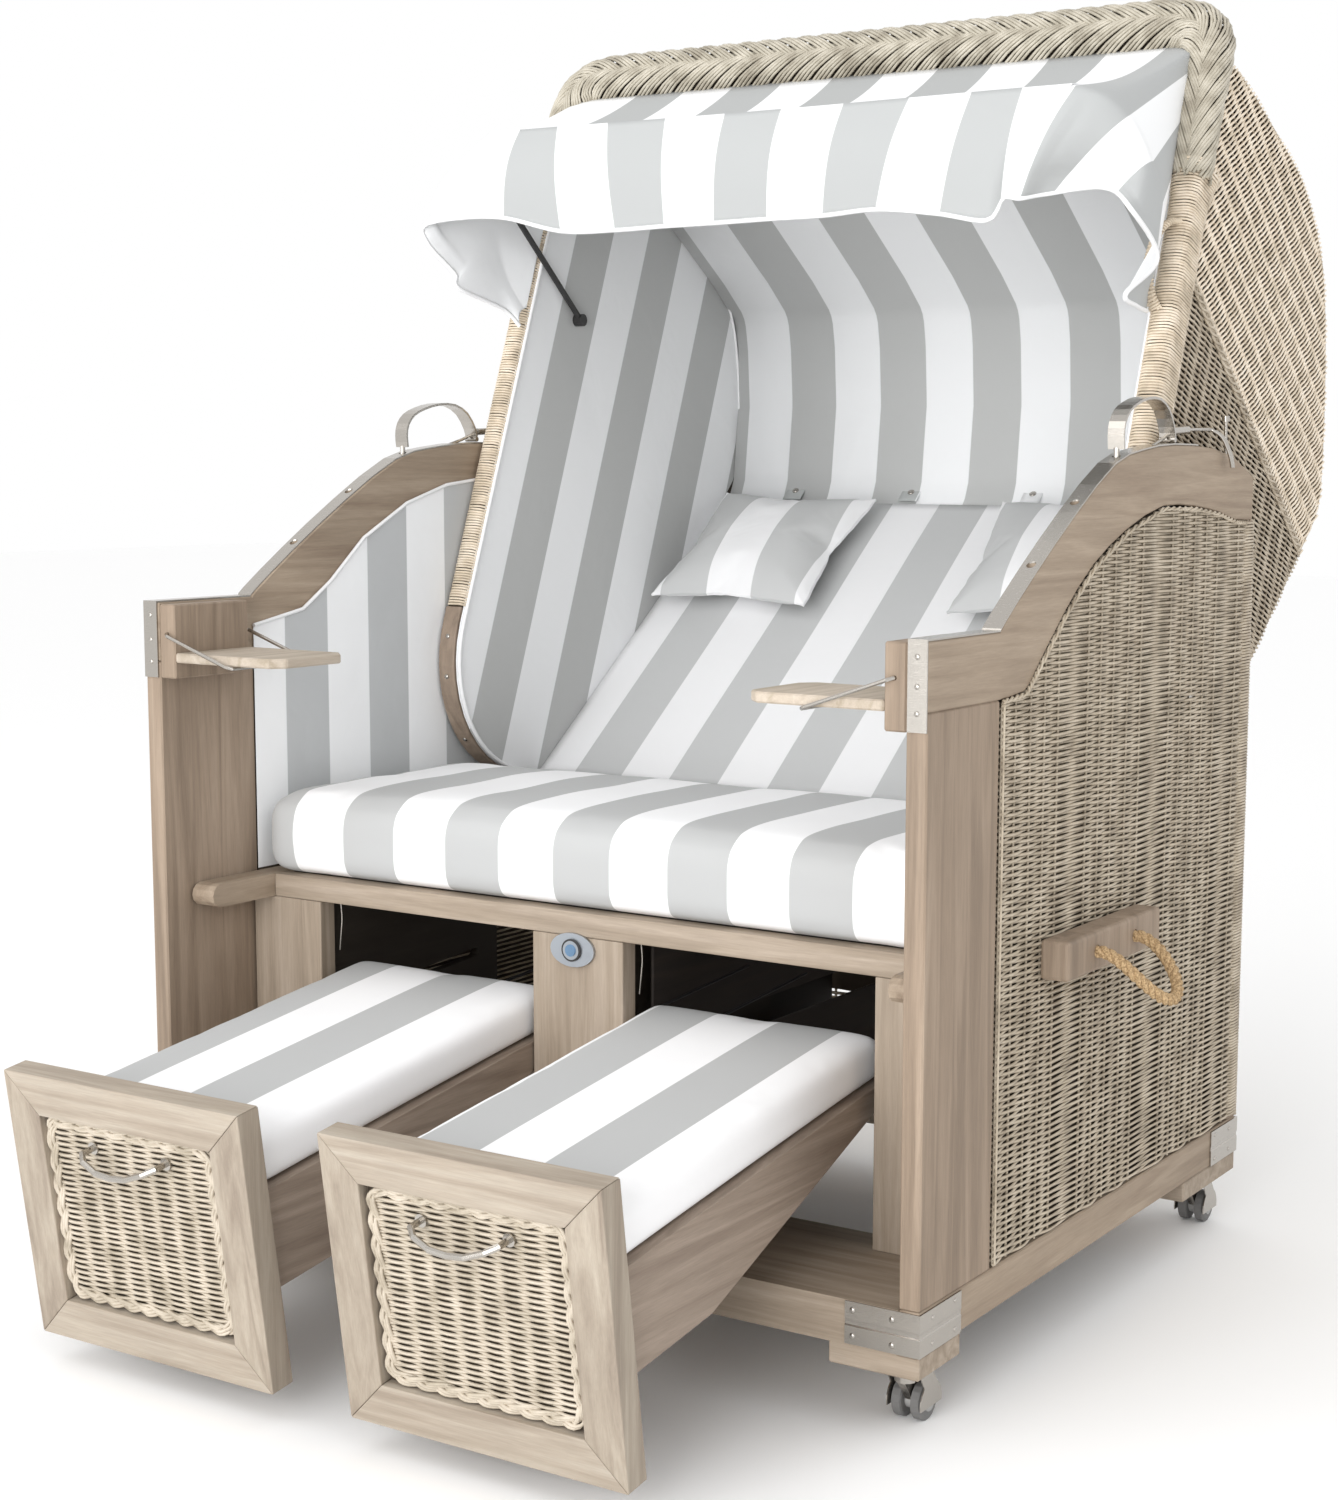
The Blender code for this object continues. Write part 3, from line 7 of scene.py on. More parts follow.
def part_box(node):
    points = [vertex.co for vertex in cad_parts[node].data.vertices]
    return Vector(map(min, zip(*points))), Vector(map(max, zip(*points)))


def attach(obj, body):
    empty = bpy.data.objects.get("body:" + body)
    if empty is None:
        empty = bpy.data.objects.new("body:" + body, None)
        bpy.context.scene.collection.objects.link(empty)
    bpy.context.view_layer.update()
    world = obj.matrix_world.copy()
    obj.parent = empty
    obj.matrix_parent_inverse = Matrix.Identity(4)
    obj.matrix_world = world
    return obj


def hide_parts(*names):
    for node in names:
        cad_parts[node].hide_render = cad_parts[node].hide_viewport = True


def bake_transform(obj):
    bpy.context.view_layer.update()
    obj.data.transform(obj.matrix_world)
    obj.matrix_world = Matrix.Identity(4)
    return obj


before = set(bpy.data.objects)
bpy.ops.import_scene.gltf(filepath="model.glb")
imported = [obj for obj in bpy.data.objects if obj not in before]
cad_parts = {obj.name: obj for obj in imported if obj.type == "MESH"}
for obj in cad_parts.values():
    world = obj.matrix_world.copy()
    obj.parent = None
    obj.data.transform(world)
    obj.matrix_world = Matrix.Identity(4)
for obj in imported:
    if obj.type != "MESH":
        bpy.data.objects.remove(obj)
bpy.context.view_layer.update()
bpy.ops.object.select_all(action="DESELECT")

# The view: the chair stands on a pale floor in even studio light, seen from just above seat height, to the
# right of its middle.
bpy.ops.object.camera_add(location=(1.826, -2.807, 1.120))
camera = bpy.context.object
camera_turn = Matrix.Rotation(math.radians(31.81), 3, "Z") @ Matrix.Rotation(math.radians(90 - 7.35), 3, "X")
camera.rotation_euler = (camera_turn @ Matrix.Rotation(math.radians(0.32), 3, "Z")).to_euler()
camera.data.sensor_width = 36
camera.data.lens = 57.5
camera.data.shift_x = -0.0645
camera.data.shift_y = 0.0113
camera.data.clip_end = 60
bpy.context.scene.camera = camera
bpy.context.scene.view_settings.view_transform = "Standard"


def srgb(code):
    channels = [int(code[i:i + 2], 16) / 255 for i in (1, 3, 5)]
    linear = [c / 12.92 if c <= 0.04045 else ((c + 0.055) / 1.055) ** 2.4 for c in channels]
    return (*linear, 1.0)


def add_node(tree, kind, links=None, values=None, **settings):
    """Adds a node, sets its fields and socket values, and links sockets to its inputs."""
    node = tree.nodes.new(kind)
    for field, value in settings.items():
        setattr(node, field, value)
    for socket, value in (values or {}).items():
        node.inputs[socket].default_value = value
    for socket, source in (links or {}).items():
        tree.links.new(source, node.inputs[socket])
    return node


def new_material(name, colour, roughness, metallic=0.0):
    material = bpy.data.materials.new(name)
    material.use_nodes = True
    tree = material.node_tree
    shader = tree.nodes["Principled BSDF"]
    shader.inputs["Base Color"].default_value = srgb(colour)
    shader.inputs["Roughness"].default_value = roughness
    shader.inputs["Metallic"].default_value = metallic
    return material, tree, shader


def object_noise(tree, scale, stretch=None, **values):
    """Noise in the object's own space, longer along an axis where stretch is below 1."""
    vector = add_node(tree, "ShaderNodeTexCoord").outputs["Object"]
    if stretch:
        vector = add_node(tree, "ShaderNodeMapping", {"Vector": vector}, {"Scale": stretch}).outputs[0]
    return add_node(tree, "ShaderNodeTexNoise", {"Vector": vector}, {"Scale": scale, **values}).outputs["Fac"]


def roughen(tree, height, strength, distance, under=None):
    """Bumps the surface by a height, over another bump where one is given."""
    links = {"Height": height, "Normal": under} if under else {"Height": height}
    bump = add_node(tree, "ShaderNodeBump", links, {"Strength": strength, "Distance": distance}).outputs[0]
    tree.links.new(bump, tree.nodes["Principled BSDF"].inputs["Normal"])
    return bump


def colour_ramp(tree, fac, *stops):
    """A ramp of (place, colour) stops, from the first to the last."""
    ramp = add_node(tree, "ShaderNodeValToRGB", {"Fac": fac})
    for element, (place, colour) in zip(ramp.color_ramp.elements, (stops[0], stops[-1])):
        element.position = place
        element.color = srgb(colour)
    for place, colour in stops[1:-1]:
        ramp.color_ramp.elements.new(place).color = srgb(colour)
    return ramp.outputs["Color"]


studio = bpy.data.worlds.new("studio")
studio.use_nodes = True
studio.node_tree.nodes["Background"].inputs["Color"].default_value = srgb("#ffffff")
studio.node_tree.nodes["Background"].inputs["Strength"].default_value = 1.0
bpy.context.scene.world = studio
for label, place, aim, size, power in (("key", (-1.6, -3.2, 3.6), (0, 0, 0.8), 2.6, 30),
                                       ("front", (0.5, -4.6, 1.1), (0, 0, 0.9), 3.2, 150),
                                       ("fill", (3.6, -1.8, 2.4), (0, 0, 0.7), 2.4, 10)):
    bpy.ops.object.light_add(type="AREA", location=place)
    lamp = bpy.context.object
    lamp.name = label
    lamp.rotation_euler = (Vector(aim) - Vector(place)).to_track_quat("-Z", "Y").to_euler()
    lamp.data.size = size
    lamp.data.energy = power
bpy.ops.mesh.primitive_plane_add(size=40)
floor = bpy.context.object
floor.name = "floor"
floor_paint, tree, shader = new_material("pale_floor", "#fdfdfd", 0.9)
floor.data.materials.append(floor_paint)

# Washed teak: every board of the frame is teak that was oiled grey and has silvered further outdoors. Its grain
# runs along each board, with fine dark pores and broad bands of growth, and the edges are eased by hand.
# Distances y back from the front of the posts become the chair's own by adding front_y.
front_y = -0.494


def teak(name, grain, dark="#827160", middle="#93816f", light="#a2907e"):
    """Oiled teak: dry grey-brown with darker growth lines every 10 to 30 mm, along the grain axis."""
    material, tree, shader = new_material(name, middle, 0.66)
    along = {"x": (0.05, 1, 1), "y": (1, 0.05, 1), "z": (1, 1, 0.05)}[grain]
    growth = object_noise(tree, 46, along, Detail=4, Distortion=1.1)
    fibre = object_noise(tree, 520, along, Detail=3, Roughness=0.7)
    dye = colour_ramp(tree, growth, (0.30, dark), (0.5, middle), (0.72, light))
    pores = add_node(tree, "ShaderNodeMapRange", {"Value": fibre},
                     {"From Min": 0.3, "From Max": 0.7, "To Min": 0.88, "To Max": 1.05})
    clouds = add_node(tree, "ShaderNodeMapRange", {"Value": object_noise(tree, 5, Detail=2)},
                      {"From Min": 0.3, "From Max": 0.7, "To Min": 0.93, "To Max": 1.06})
    shade = add_node(tree, "ShaderNodeMath", {0: pores.outputs[0], 1: clouds.outputs[0]}, operation="MULTIPLY")
    tinted = add_node(tree, "ShaderNodeVectorMath", {0: dye, "Scale": shade.outputs[0]}, operation="SCALE")
    worn = add_node(tree, "ShaderNodeMapRange", {"Value": growth}, {"To Min": 0.56, "To Max": 0.8})
    tree.links.new(tinted.outputs[0], shader.inputs["Base Color"])
    tree.links.new(worn.outputs[0], shader.inputs["Roughness"])
    roughen(tree, fibre, 0.35, 0.0006)
    return material


teak_up = teak("teak_upright", "z")
teak_deep = teak("teak_front_to_back", "y", "#8a7866", "#9b8a77", "#ab9a87")
teak_across = teak("teak_across", "x", "#8e7f6e", "#a09180", "#b1a292")
teak_table = teak("teak_table_leaf", "y", "#a39683", "#b5a898", "#c2b6a7")
# The bay boards are painted almost black: painted shade for the dark inside of the bays.
teak_bay = teak("teak_bay_painted_shade", "y", "#2a2420", "#332c27", "#3d342e")
teak_seat = teak("teak_seat_uprights", "z", "#8e7f6e", "#a09180", "#b1a292")

# The deck under the seat is painted almost black inside the bays, partly dirt and partly painted shade under the
# seat; its ends, beside the posts, are left bare.
teak_deck = teak("teak_deck", "y", "#8a7866", "#9b8a77", "#ab9a87")
tree = teak_deck.node_tree
split = add_node(tree, "ShaderNodeSeparateXYZ", {"Vector": add_node(tree, "ShaderNodeTexCoord").outputs["Object"]})
width = add_node(tree, "ShaderNodeMath", {0: split.outputs["X"]}, operation="ABSOLUTE")
# bare is 1 at the ends and 0.11 inside the bays, where the colour is darkened as dirt and painted shade.
bare = add_node(tree, "ShaderNodeMapRange", {"Value": width.outputs[0]},
                {"From Min": 0.520, "From Max": 0.522, "To Min": 0.11, "To Max": 1.0})
deck_colour = tree.nodes["Principled BSDF"].inputs["Base Color"]
dirt_and_painted_shade = add_node(tree, "ShaderNodeVectorMath", {0: deck_colour.links[0].from_socket, "Scale": bare.outputs[0]},
                   operation="SCALE")
tree.links.new(dirt_and_painted_shade.outputs[0], deck_colour)


def finish_node(node, material):
    """Gives a CAD piece its finish."""
    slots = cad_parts[node].data.materials
    slots.clear()
    slots.append(material)


sides = (("left", -1), ("right", 1))
ends = ("front", "rear")
for side, sign in sides:
    for node, material in (("front_post_", teak_up), ("rear_post_", teak_up), ("armrest_", teak_deep),
                           ("side_bottom_rail_", teak_deep), ("rope_block_", teak_up), ("table_mount_", teak_up),
                           ("table_leaf_", teak_table)):
        finish_node(node + side, material)
for node in ("front_bottom_rail", "rear_bottom_rail"):
    finish_node(node, teak_across)
finish_node("seat_deck", teak_deck)

# Stainless fittings: corner angles, arm straps, latches, pulls and stays are pressed or bent from stainless
# steel and polished, so they mirror the room in soft streaks and show a fine brushing.


def stainless(name, colour, roughness):
    """Polished stainless steel: bright, with hair-fine brushing that only shows in the highlights."""
    material, tree, shader = new_material(name, colour, roughness, 1.0)
    brushing = object_noise(tree, 120, (1, 1, 14), Detail=3)
    worn = add_node(tree, "ShaderNodeMapRange", {"Value": brushing},
                    {"To Min": roughness - 0.08, "To Max": roughness + 0.12})
    tree.links.new(worn.outputs[0], shader.inputs["Roughness"])
    roughen(tree, brushing, 0.1, 0.0004)
    return material


steel = stainless("polished_stainless", "#b6b1aa", 0.22)
for side, sign in sides:
    for node in ("arm_strap_", "latch_", "table_stay_", "footrest_pull_", "footrest_rod_"):
        finish_node(node + side, steel)
    for end in ends:
        finish_node("corner_bracket_%s_%s" % (end, side), steel)
        finish_node("caster_fork_%s_%s" % (end, side), steel)
finish_node("seat_lock", steel)

# Cane: round synthetic cane about 4 mm thick, extruded in one beige colour with darker and lighter lots, is woven
# over upright stakes, wrapped round bars, or plaited. A dark sheet behind it is painted shade, standing for the shade
# that shows through the gaps.


def cane_colour(name, dark, middle, light):
    """Extruded synthetic cane: satin, slightly streaked along its length."""
    material, tree, shader = new_material(name, middle, 0.5)
    lots = colour_ramp(tree, object_noise(tree, 34, Detail=4), (0.32, dark), (0.5, middle), (0.68, light))
    tree.links.new(lots, shader.inputs["Base Color"])
    roughen(tree, object_noise(tree, 700), 0.2, 0.0003)
    return material


cane = cane_colour("synthetic_cane", "#a09380", "#b9ac98", "#c9bdaa")
cane_light = cane_colour("synthetic_cane_light", "#c0b19b", "#d9cab4", "#eaddca")
# The pale cane is painted light: the hood's upper field is drawn lighter for the light it catches from above.
cane_painted_light = cane_colour("synthetic_cane_painted_light", "#d5c7b1", "#eee0cc", "#f9eedd")
cane_grey = cane_colour("synthetic_cane_grey", "#9c9484", "#b6af9f", "#cac3b4")


def grained(name, colour, roughness, scale, strength, distance):
    """A plain finish with a fine even grain."""
    material, tree, shader = new_material(name, colour, roughness)
    roughen(tree, object_noise(tree, scale), strength, distance)
    return material


# The dark backing sheet is painted shade: it stands for the shade seen through the gaps of the weaves, wraps and
# plait.
painted_shade_backing = grained("dark_painted_shade_backing_cloth", "#41372c", 0.9, 900, 0.4, 0.0005)


def place_piece(piece, name, body, material):
    """Names a finished piece, gives it its material and lets it ride on a body, if one is given."""
    piece.name = name
    piece.data.name = name
    if material:
        piece.data.materials.clear()
        piece.data.materials.append(material)
    if body:
        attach(piece, body)
    piece.select_set(False)
    return piece


def lay_canes(name, lines, radius, body, material=None, rounder=0):
    """Turns each line of points into a round cane, all of them one mesh."""
    curve = bpy.data.curves.new(name, "CURVE")
    curve.dimensions = "3D"
    curve.bevel_depth = radius
    curve.bevel_resolution = rounder
    curve.use_fill_caps = True
    for line in lines:
        spline = curve.splines.new("POLY")
        spline.points.add(len(line) - 1)
        for point, place in zip(spline.points, line):
            point.co = (*place, 1)
    piece = bpy.data.objects.new(name, curve)
    bpy.context.collection.objects.link(piece)
    bpy.ops.object.select_all(action="DESELECT")
    bpy.context.view_layer.objects.active = piece
    piece.select_set(True)
    bpy.ops.object.convert(target="MESH")
    piece = bpy.context.object
    bpy.ops.object.shade_smooth()
    return place_piece(piece, name, body, material or cane)


def crossings(outline, origin, direction):
    """Where a straight line enters and leaves an outline, as distances along it."""
    cuts = []
    for (x0, y0), (x1, y1) in zip(outline, outline[1:] + outline[:1]):
        d0 = (x0 - origin[0]) * -direction[1] + (y0 - origin[1]) * direction[0]
        d1 = (x1 - origin[0]) * -direction[1] + (y1 - origin[1]) * direction[0]
        if (d0 < 0) != (d1 < 0):
            t = d0 / (d0 - d1)
            cuts.append((x0 + t * (x1 - x0) - origin[0]) * direction[0]
                        + (y0 + t * (y1 - y0) - origin[1]) * direction[1])
    cuts.sort()
    return list(zip(cuts[::2], cuts[1::2]))


def weave(outline, direction, pitch, phase, swing, place, step=0.011):
    """Rows of cane inside an outline, in front of and behind stakes in turn.

    phase gives the count of stakes passed at a point of the row, and place turns
    (u, v, distance out) into a point of the chair."""
    across = (-direction[1], direction[0])
    reach = [x * across[0] + y * across[1] for x, y in outline]
    rows = []
    for row in range(math.ceil(min(reach) / pitch), int(max(reach) / pitch) + 1):
        start = (across[0] * row * pitch, across[1] * row * pitch)
        for low, high in crossings(outline, start, direction):
            if high - low < 3 * step / 2:
                continue
            count = max(2, round((high - low) / step))
            line = []
            for k in range(count + 1):
                s = low + (high - low) * k / count
                u, v = start[0] + direction[0] * s, start[1] + direction[1] * s
                line.append(place(u, v, swing * math.cos(math.pi * (phase(u, v) + row))))
            rows.append(line)
    return rows


# Side panels: each side is woven by hand in level rows over stakes that stand 39 mm apart in groups of five,
# with a double space between the groups. A twisted edge cord follows the underside of the armrest.
arm_under = ((0.172, 0.843), (0.243, 0.848), (0.275, 0.873), (0.350, 0.935), (0.430, 0.989), (0.535, 1.032),
             (0.652, 1.060), (0.760, 1.058), (0.849, 1.049), (0.911, 1.037), (0.953, 1.035))
panel_outline = [(y + front_y, z - 0.002) for y, z in reversed(arm_under)]
panel_outline[-1] = (0.183 + front_y, 0.838)
panel_outline += [(0.183 + front_y, 0.163), (0.953 + front_y, 0.163)]
stake_places = [y + front_y for y in (0.147, 0.186, 0.222, 0.263, 0.302, 0.340, 0.426, 0.464, 0.504, 0.549, 0.591,
                                      0.689, 0.728, 0.768, 0.809, 0.851, 0.930, 0.990)]
row_pitch, cane_radius, stake_radius = 0.0040, 0.0021, 0.0018
swing_out = 0.0030
weave_x = 0.5985


def side_phase(y, z):
    """The count of stakes passed at y."""
    for k in range(len(stake_places) - 1):
        if y < stake_places[k + 1]:
            return k + (y - stake_places[k]) / (stake_places[k + 1] - stake_places[k])
    return len(stake_places) - 1


def cut_out(outline, place, near, far, material, ease=0.0):
    """A board or sheet cut to an outline; near and far are how far out its two faces lie."""
    bpy.ops.object.select_all(action="DESELECT")
    bpy.ops.mesh.primitive_circle_add(vertices=len(outline), radius=1, fill_type="NGON")
    piece = bpy.context.object
    for vertex, (u, v) in zip(piece.data.vertices, outline):
        vertex.co = place(u, v, near)
    bpy.ops.object.mode_set(mode="EDIT")
    bpy.ops.mesh.select_all(action="SELECT")
    bpy.ops.mesh.extrude_region_move(TRANSFORM_OT_translate={
        "value": Vector(place(0, 0, far)) - Vector(place(0, 0, near))})
    bpy.ops.mesh.select_all(action="SELECT")
    bpy.ops.mesh.normals_make_consistent(inside=False)
    bpy.ops.object.mode_set(mode="OBJECT")
    if ease:
        ease_edges(piece, ease)
    piece.data.materials.append(material)
    return piece


def ease_edges(piece, width, segments=2):
    """Rounds the edges of a board or pad."""
    eased = piece.modifiers.new("eased_edges", "BEVEL")
    eased.width = width
    eased.segments = segments
    bpy.ops.object.modifier_apply(modifier=eased.name)


for side, sign in sides:
    # Dark sheet behind the side weave: painted shade for the gaps between the rows.
    cloth = cut_out(panel_outline, lambda y, z, out: (sign * out, y, z), 0.5935, 0.5712, painted_shade_backing)
    place_piece(cloth, "side_backing_" + side, "chair_frame", None)
    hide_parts("side_panel_" + side)

    def on_side(y, z, out):
        lift = noise.noise(Vector((y * 7, z * 5, sign * 3))) * 0.0022
        return (sign * (weave_x + out), y, z + lift)

    rows = weave(panel_outline, (1, 0), row_pitch, side_phase, swing_out, on_side, 0.0098)
    lay_canes("side_weave_" + side, rows, cane_radius, "chair_frame")
    stakes = []
    for y in stake_places[1:-1]:
        low, high = crossings(panel_outline, (y, 0), (0, 1))[0]
        stakes.append([(sign * weave_x, y, low), (sign * weave_x, y, high)])
    lay_canes("side_stakes_" + side, stakes, stake_radius, "chair_frame")
    cord = []
    for strand in (0, 1):
        line = []
        for k in range(161):
            along = k / 160 * (len(arm_under) - 1)
            i = min(int(along), len(arm_under) - 2)
            (y0, z0), (y1, z1) = arm_under[i], arm_under[i + 1]
            y, z = y0 + (y1 - y0) * (along - i), z0 + (z1 - z0) * (along - i)
            turn = math.pi * (k / 3 + strand)
            line.append((sign * (weave_x + 0.0035 + 0.0018 * math.cos(turn)), max(y, 0.184) + front_y,
                         z - 0.0030 + 0.0018 * math.sin(turn)))
        cord.append(line)
    cord.append([(sign * (weave_x + 0.0040), 0.1846 + front_y, z) for z in (0.163, 0.837)])
    lay_canes("side_edge_cord_" + side, cord, stake_radius, "chair_frame")

# Rear corners: the rear post of each side is wrapped in one long cane, wound turn against turn by hand from the
# bottom rail up to the armrest.


def wrap(section, place, pitch):
    """One cane wound round a bar: section gives points round it, and place turns one of them and a share of the
    height into a point of the chair."""
    count = len(section)
    steps = int(1 / pitch) * count
    return [place(section[k % count], k / steps) for k in range(steps + 1)]


def rounded_section(half_u, half_v, corner):
    """Three points round each corner of a bar's section."""
    points = []
    for cu, cv, start in ((1, 1, 0), (-1, 1, 90), (-1, -1, 180), (1, -1, 270)):
        for k in range(3):
            angle = math.radians(start + 90 * k / 2)
            points.append((cu * (half_u - corner) + corner * math.cos(angle),
                           cv * (half_v - corner) + corner * math.sin(angle)))
    return points


wrap_pitch = 0.0043
post_low, post_high = 0.163, 1.032
for side, sign in sides:
    def round_post(uv, t):
        return (sign * (0.5865 + uv[0]), 0.9705 + front_y + uv[1], post_low + (post_high - post_low) * t)

    line = wrap(rounded_section(0.0150, 0.0190, 0.008), round_post, wrap_pitch / (post_high - post_low))
    lay_canes("corner_wrap_" + side, [line], cane_radius, "chair_frame")

# Seat frame: a rail and three uprights stand under the front of the seat, with a bay on each side for a
# footrest. The boards are screwed together, and the outer uprights are wide.


def board(low, high, material, ease=0.0018):
    """A planed board with eased edges, from its lowest to its highest corner."""
    bpy.ops.object.select_all(action="DESELECT")
    middle = [(a + b) / 2 for a, b in zip(low, high)]
    bpy.ops.mesh.primitive_cube_add(size=1, location=middle, scale=[b - a for a, b in zip(low, high)])
    piece = bpy.context.object
    bpy.ops.object.transform_apply(location=True, rotation=True, scale=True)
    ease_edges(piece, ease)
    piece.data.materials.append(material)
    return piece


def join_pieces(parts, name, body):
    """Joins parts that are glued or screwed together, each with its own grain."""
    bpy.ops.object.select_all(action="DESELECT")
    for part in parts:
        part.select_set(True)
    bpy.context.view_layer.objects.active = parts[0]
    bpy.ops.object.join()
    return place_piece(parts[0], name, body, None)


frame_front, frame_back = 0.166 + front_y, 0.196 + front_y
seat_frame_boards = [board((-0.5297, frame_front, 0.500), (0.5297, frame_back, 0.532), teak_across)]
seat_frame_boards += [board((low_x, frame_front + 0.0004, 0.1583), (high_x, frame_back, 0.4996), teak_seat)
                      for low_x, high_x in ((-0.5698, -0.445), (-0.0725, 0.0725), (0.445, 0.5698))]
seat_frame = join_pieces(seat_frame_boards, "seat_frame_boards", "chair_frame")
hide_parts("seat_front_frame")

# Striped cloth: a coated acrylic canvas in light grey and white bands 90 mm wide. It is stretched over boards,
# sewn into covers, or hung, and its seams carry a white piping cord.


def striped_canvas(name, direction, edge, width=0.09, grey="#b3b4b4", white="#f0f0f1", wrinkle=0.25):
    """Acrylic canvas: matt, with a fine plain weave. Bands lie across direction, a grey one starting at edge."""
    material, tree, shader = new_material(name, white, 0.82)
    coordinates = add_node(tree, "ShaderNodeTexCoord")
    along = add_node(tree, "ShaderNodeVectorMath", {0: coordinates.outputs["Object"]}, {1: direction},
                     operation="DOT_PRODUCT")
    shifted = add_node(tree, "ShaderNodeMath", {0: along.outputs["Value"]}, {1: edge}, operation="SUBTRACT")
    counted = add_node(tree, "ShaderNodeMath", {0: shifted.outputs[0]}, {1: 2 * width}, operation="DIVIDE")
    share = add_node(tree, "ShaderNodeMath", {0: counted.outputs[0]}, operation="FRACT")
    centred = add_node(tree, "ShaderNodeMath", {0: share.outputs[0]}, {1: 0.25}, operation="SUBTRACT")
    this_band = add_node(tree, "ShaderNodeMath", {0: centred.outputs[0]}, operation="ABSOLUTE").outputs[0]
    past = add_node(tree, "ShaderNodeMath", {0: this_band}, {1: 1.0}, operation="SUBTRACT").outputs[0]
    next_band = add_node(tree, "ShaderNodeMath", {0: past}, operation="ABSOLUTE").outputs[0]
    least = add_node(tree, "ShaderNodeMath", {0: this_band, 1: next_band}, operation="MINIMUM")
    band = add_node(tree, "ShaderNodeMapRange", {"Value": least.outputs[0]},
                    {"From Min": 0.247, "From Max": 0.253, "To Min": 0.0, "To Max": 1.0})
    dye = add_node(tree, "ShaderNodeMix", {"Factor": band.outputs[0]}, data_type="RGBA")
    dye.inputs[6].default_value = srgb(grey)
    dye.inputs[7].default_value = srgb(white)
    creases = roughen(tree, object_noise(tree, 7, Detail=3, Distortion=0.6), wrinkle, 0.012)
    roughen(tree, object_noise(tree, 900), 0.18, 0.0005, creases)
    tree.links.new(dye.outputs[2], shader.inputs["Base Color"])
    shader.inputs["Sheen Weight"].default_value = 0.1
    return material


seat_canvas = striped_canvas("canvas_seat", (1, 0, 0), -0.223, 0.0905, wrinkle=0.12)
piping_white = grained("piping_white", "#eeeeef", 0.8, 800, 0.3, 0.0004)


def pad_mesh(width, depth, thickness, corner):
    """A stuffed pad as sewn, from a cube: base at z = 0, its edges rounded."""
    bpy.ops.object.select_all(action="DESELECT")
    bpy.ops.mesh.primitive_cube_add(size=1, location=(0, 0, thickness / 2), scale=(width, depth, thickness))
    piece = bpy.context.object
    bpy.ops.object.transform_apply(location=True, rotation=True, scale=True)
    ease_edges(piece, corner, 4)
    return piece


def blow_up(piece, pressure, quality, mass, stiffness, bending, shear, frames):
    """Fills a cover by air pressure in Blender's cloth, with no gravity, and applies the result."""
    filling = piece.modifiers.new("filling", "CLOTH")
    filling.settings.quality = quality
    filling.settings.mass = mass
    filling.settings.tension_stiffness = stiffness
    filling.settings.compression_stiffness = stiffness
    filling.settings.shear_stiffness = shear
    filling.settings.bending_stiffness = bending
    filling.settings.use_pressure = True
    filling.settings.uniform_pressure_force = pressure
    filling.settings.effector_weights.gravity = 0
    filling.collision_settings.use_collision = False
    for step in range(1, frames + 1):
        bpy.context.scene.frame_set(step)
    bpy.ops.object.modifier_apply(modifier=filling.name)
    bpy.context.scene.frame_set(1)


def round_off(piece):
    """One level of subdivision, shaded smooth."""
    finer = piece.modifiers.new("finer", "SUBSURF")
    finer.levels = 1
    finer.render_levels = 1
    bpy.ops.object.modifier_apply(modifier=finer.name)
    bpy.ops.object.shade_smooth()


def stuff(piece, voxel, pressure, cap, flat_below):
    """Fills a sewn cover: an even mesh is blown up, and no point may move further than cap."""
    bpy.ops.object.select_all(action="DESELECT")
    bpy.context.view_layer.objects.active = piece
    piece.select_set(True)
    even = piece.modifiers.new("even_mesh", "REMESH")
    even.mode = "VOXEL"
    even.voxel_size = voxel
    bpy.ops.object.modifier_apply(modifier=even.name)
    rest = [vertex.co.copy() for vertex in piece.data.vertices]
    blow_up(piece, pressure, 4, 0.3, 12, 0.6, 5, 20)
    for vertex, start in zip(piece.data.vertices, rest):
        moved = vertex.co - start
        if moved.length > cap:
            moved *= cap / moved.length
        vertex.co = start + moved
        if start.z < flat_below:
            vertex.co.z = max(start.z, 0.0)
    round_off(piece)


def move_mesh(piece, matrix):
    piece.data.transform(matrix)
    piece.data.update()


# Seat cushion: one wide foam pad with a full front edge in a sewn canvas cover, which pulls in at its corners.
seat_pad = pad_mesh(1.118, 0.448, 0.108, 0.030)
stuff(seat_pad, 0.009, 2.5, 0.008, 0.02)
for vertex in seat_pad.data.vertices:
    across = vertex.co.x / 0.56
    crown = 0.010 * max(0, 1 - across ** 6) * max(0, 1 - (vertex.co.y / 0.22) ** 4) if vertex.co.z > 0.06 else 0
    ripple = noise.noise(Vector((vertex.co.x * 9, vertex.co.y * 9, vertex.co.z * 9))) * 0.0022
    vertex.co.z += crown + (ripple if vertex.co.z > 0.02 else 0)
move_mesh(seat_pad, Matrix.Translation((0, 0.3865 + front_y, 0.5323)))
place_piece(seat_pad, "seat_pad", "chair_frame", seat_canvas)
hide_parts("seat_cushion")

# Hood: a basket of teak uprights and boards, woven over, that leans back 20 degrees on its pivot bolts. Points on
# it are given as a distance back from the pivot and a height along the pillars.
hood_lean = math.radians(20.1)
hood_pivot = Vector((0, 0.765 + front_y, 0.800))


def on_hood(x, back, up):
    return Vector((x, hood_pivot.y + back * math.cos(hood_lean) + up * math.sin(hood_lean),
                   hood_pivot.z - back * math.sin(hood_lean) + up * math.cos(hood_lean)))


# Hood weave: the outside of the hood is woven in two fields that meet on a slanted line from the front of the
# side to the lower back corner, and the back is woven in level rows from side to side.
wall_lean = math.radians(32.4)


def on_wall(out, along):
    return (out * math.cos(wall_lean) + along * math.sin(wall_lean),
            -out * math.sin(wall_lean) + along * math.cos(wall_lean))


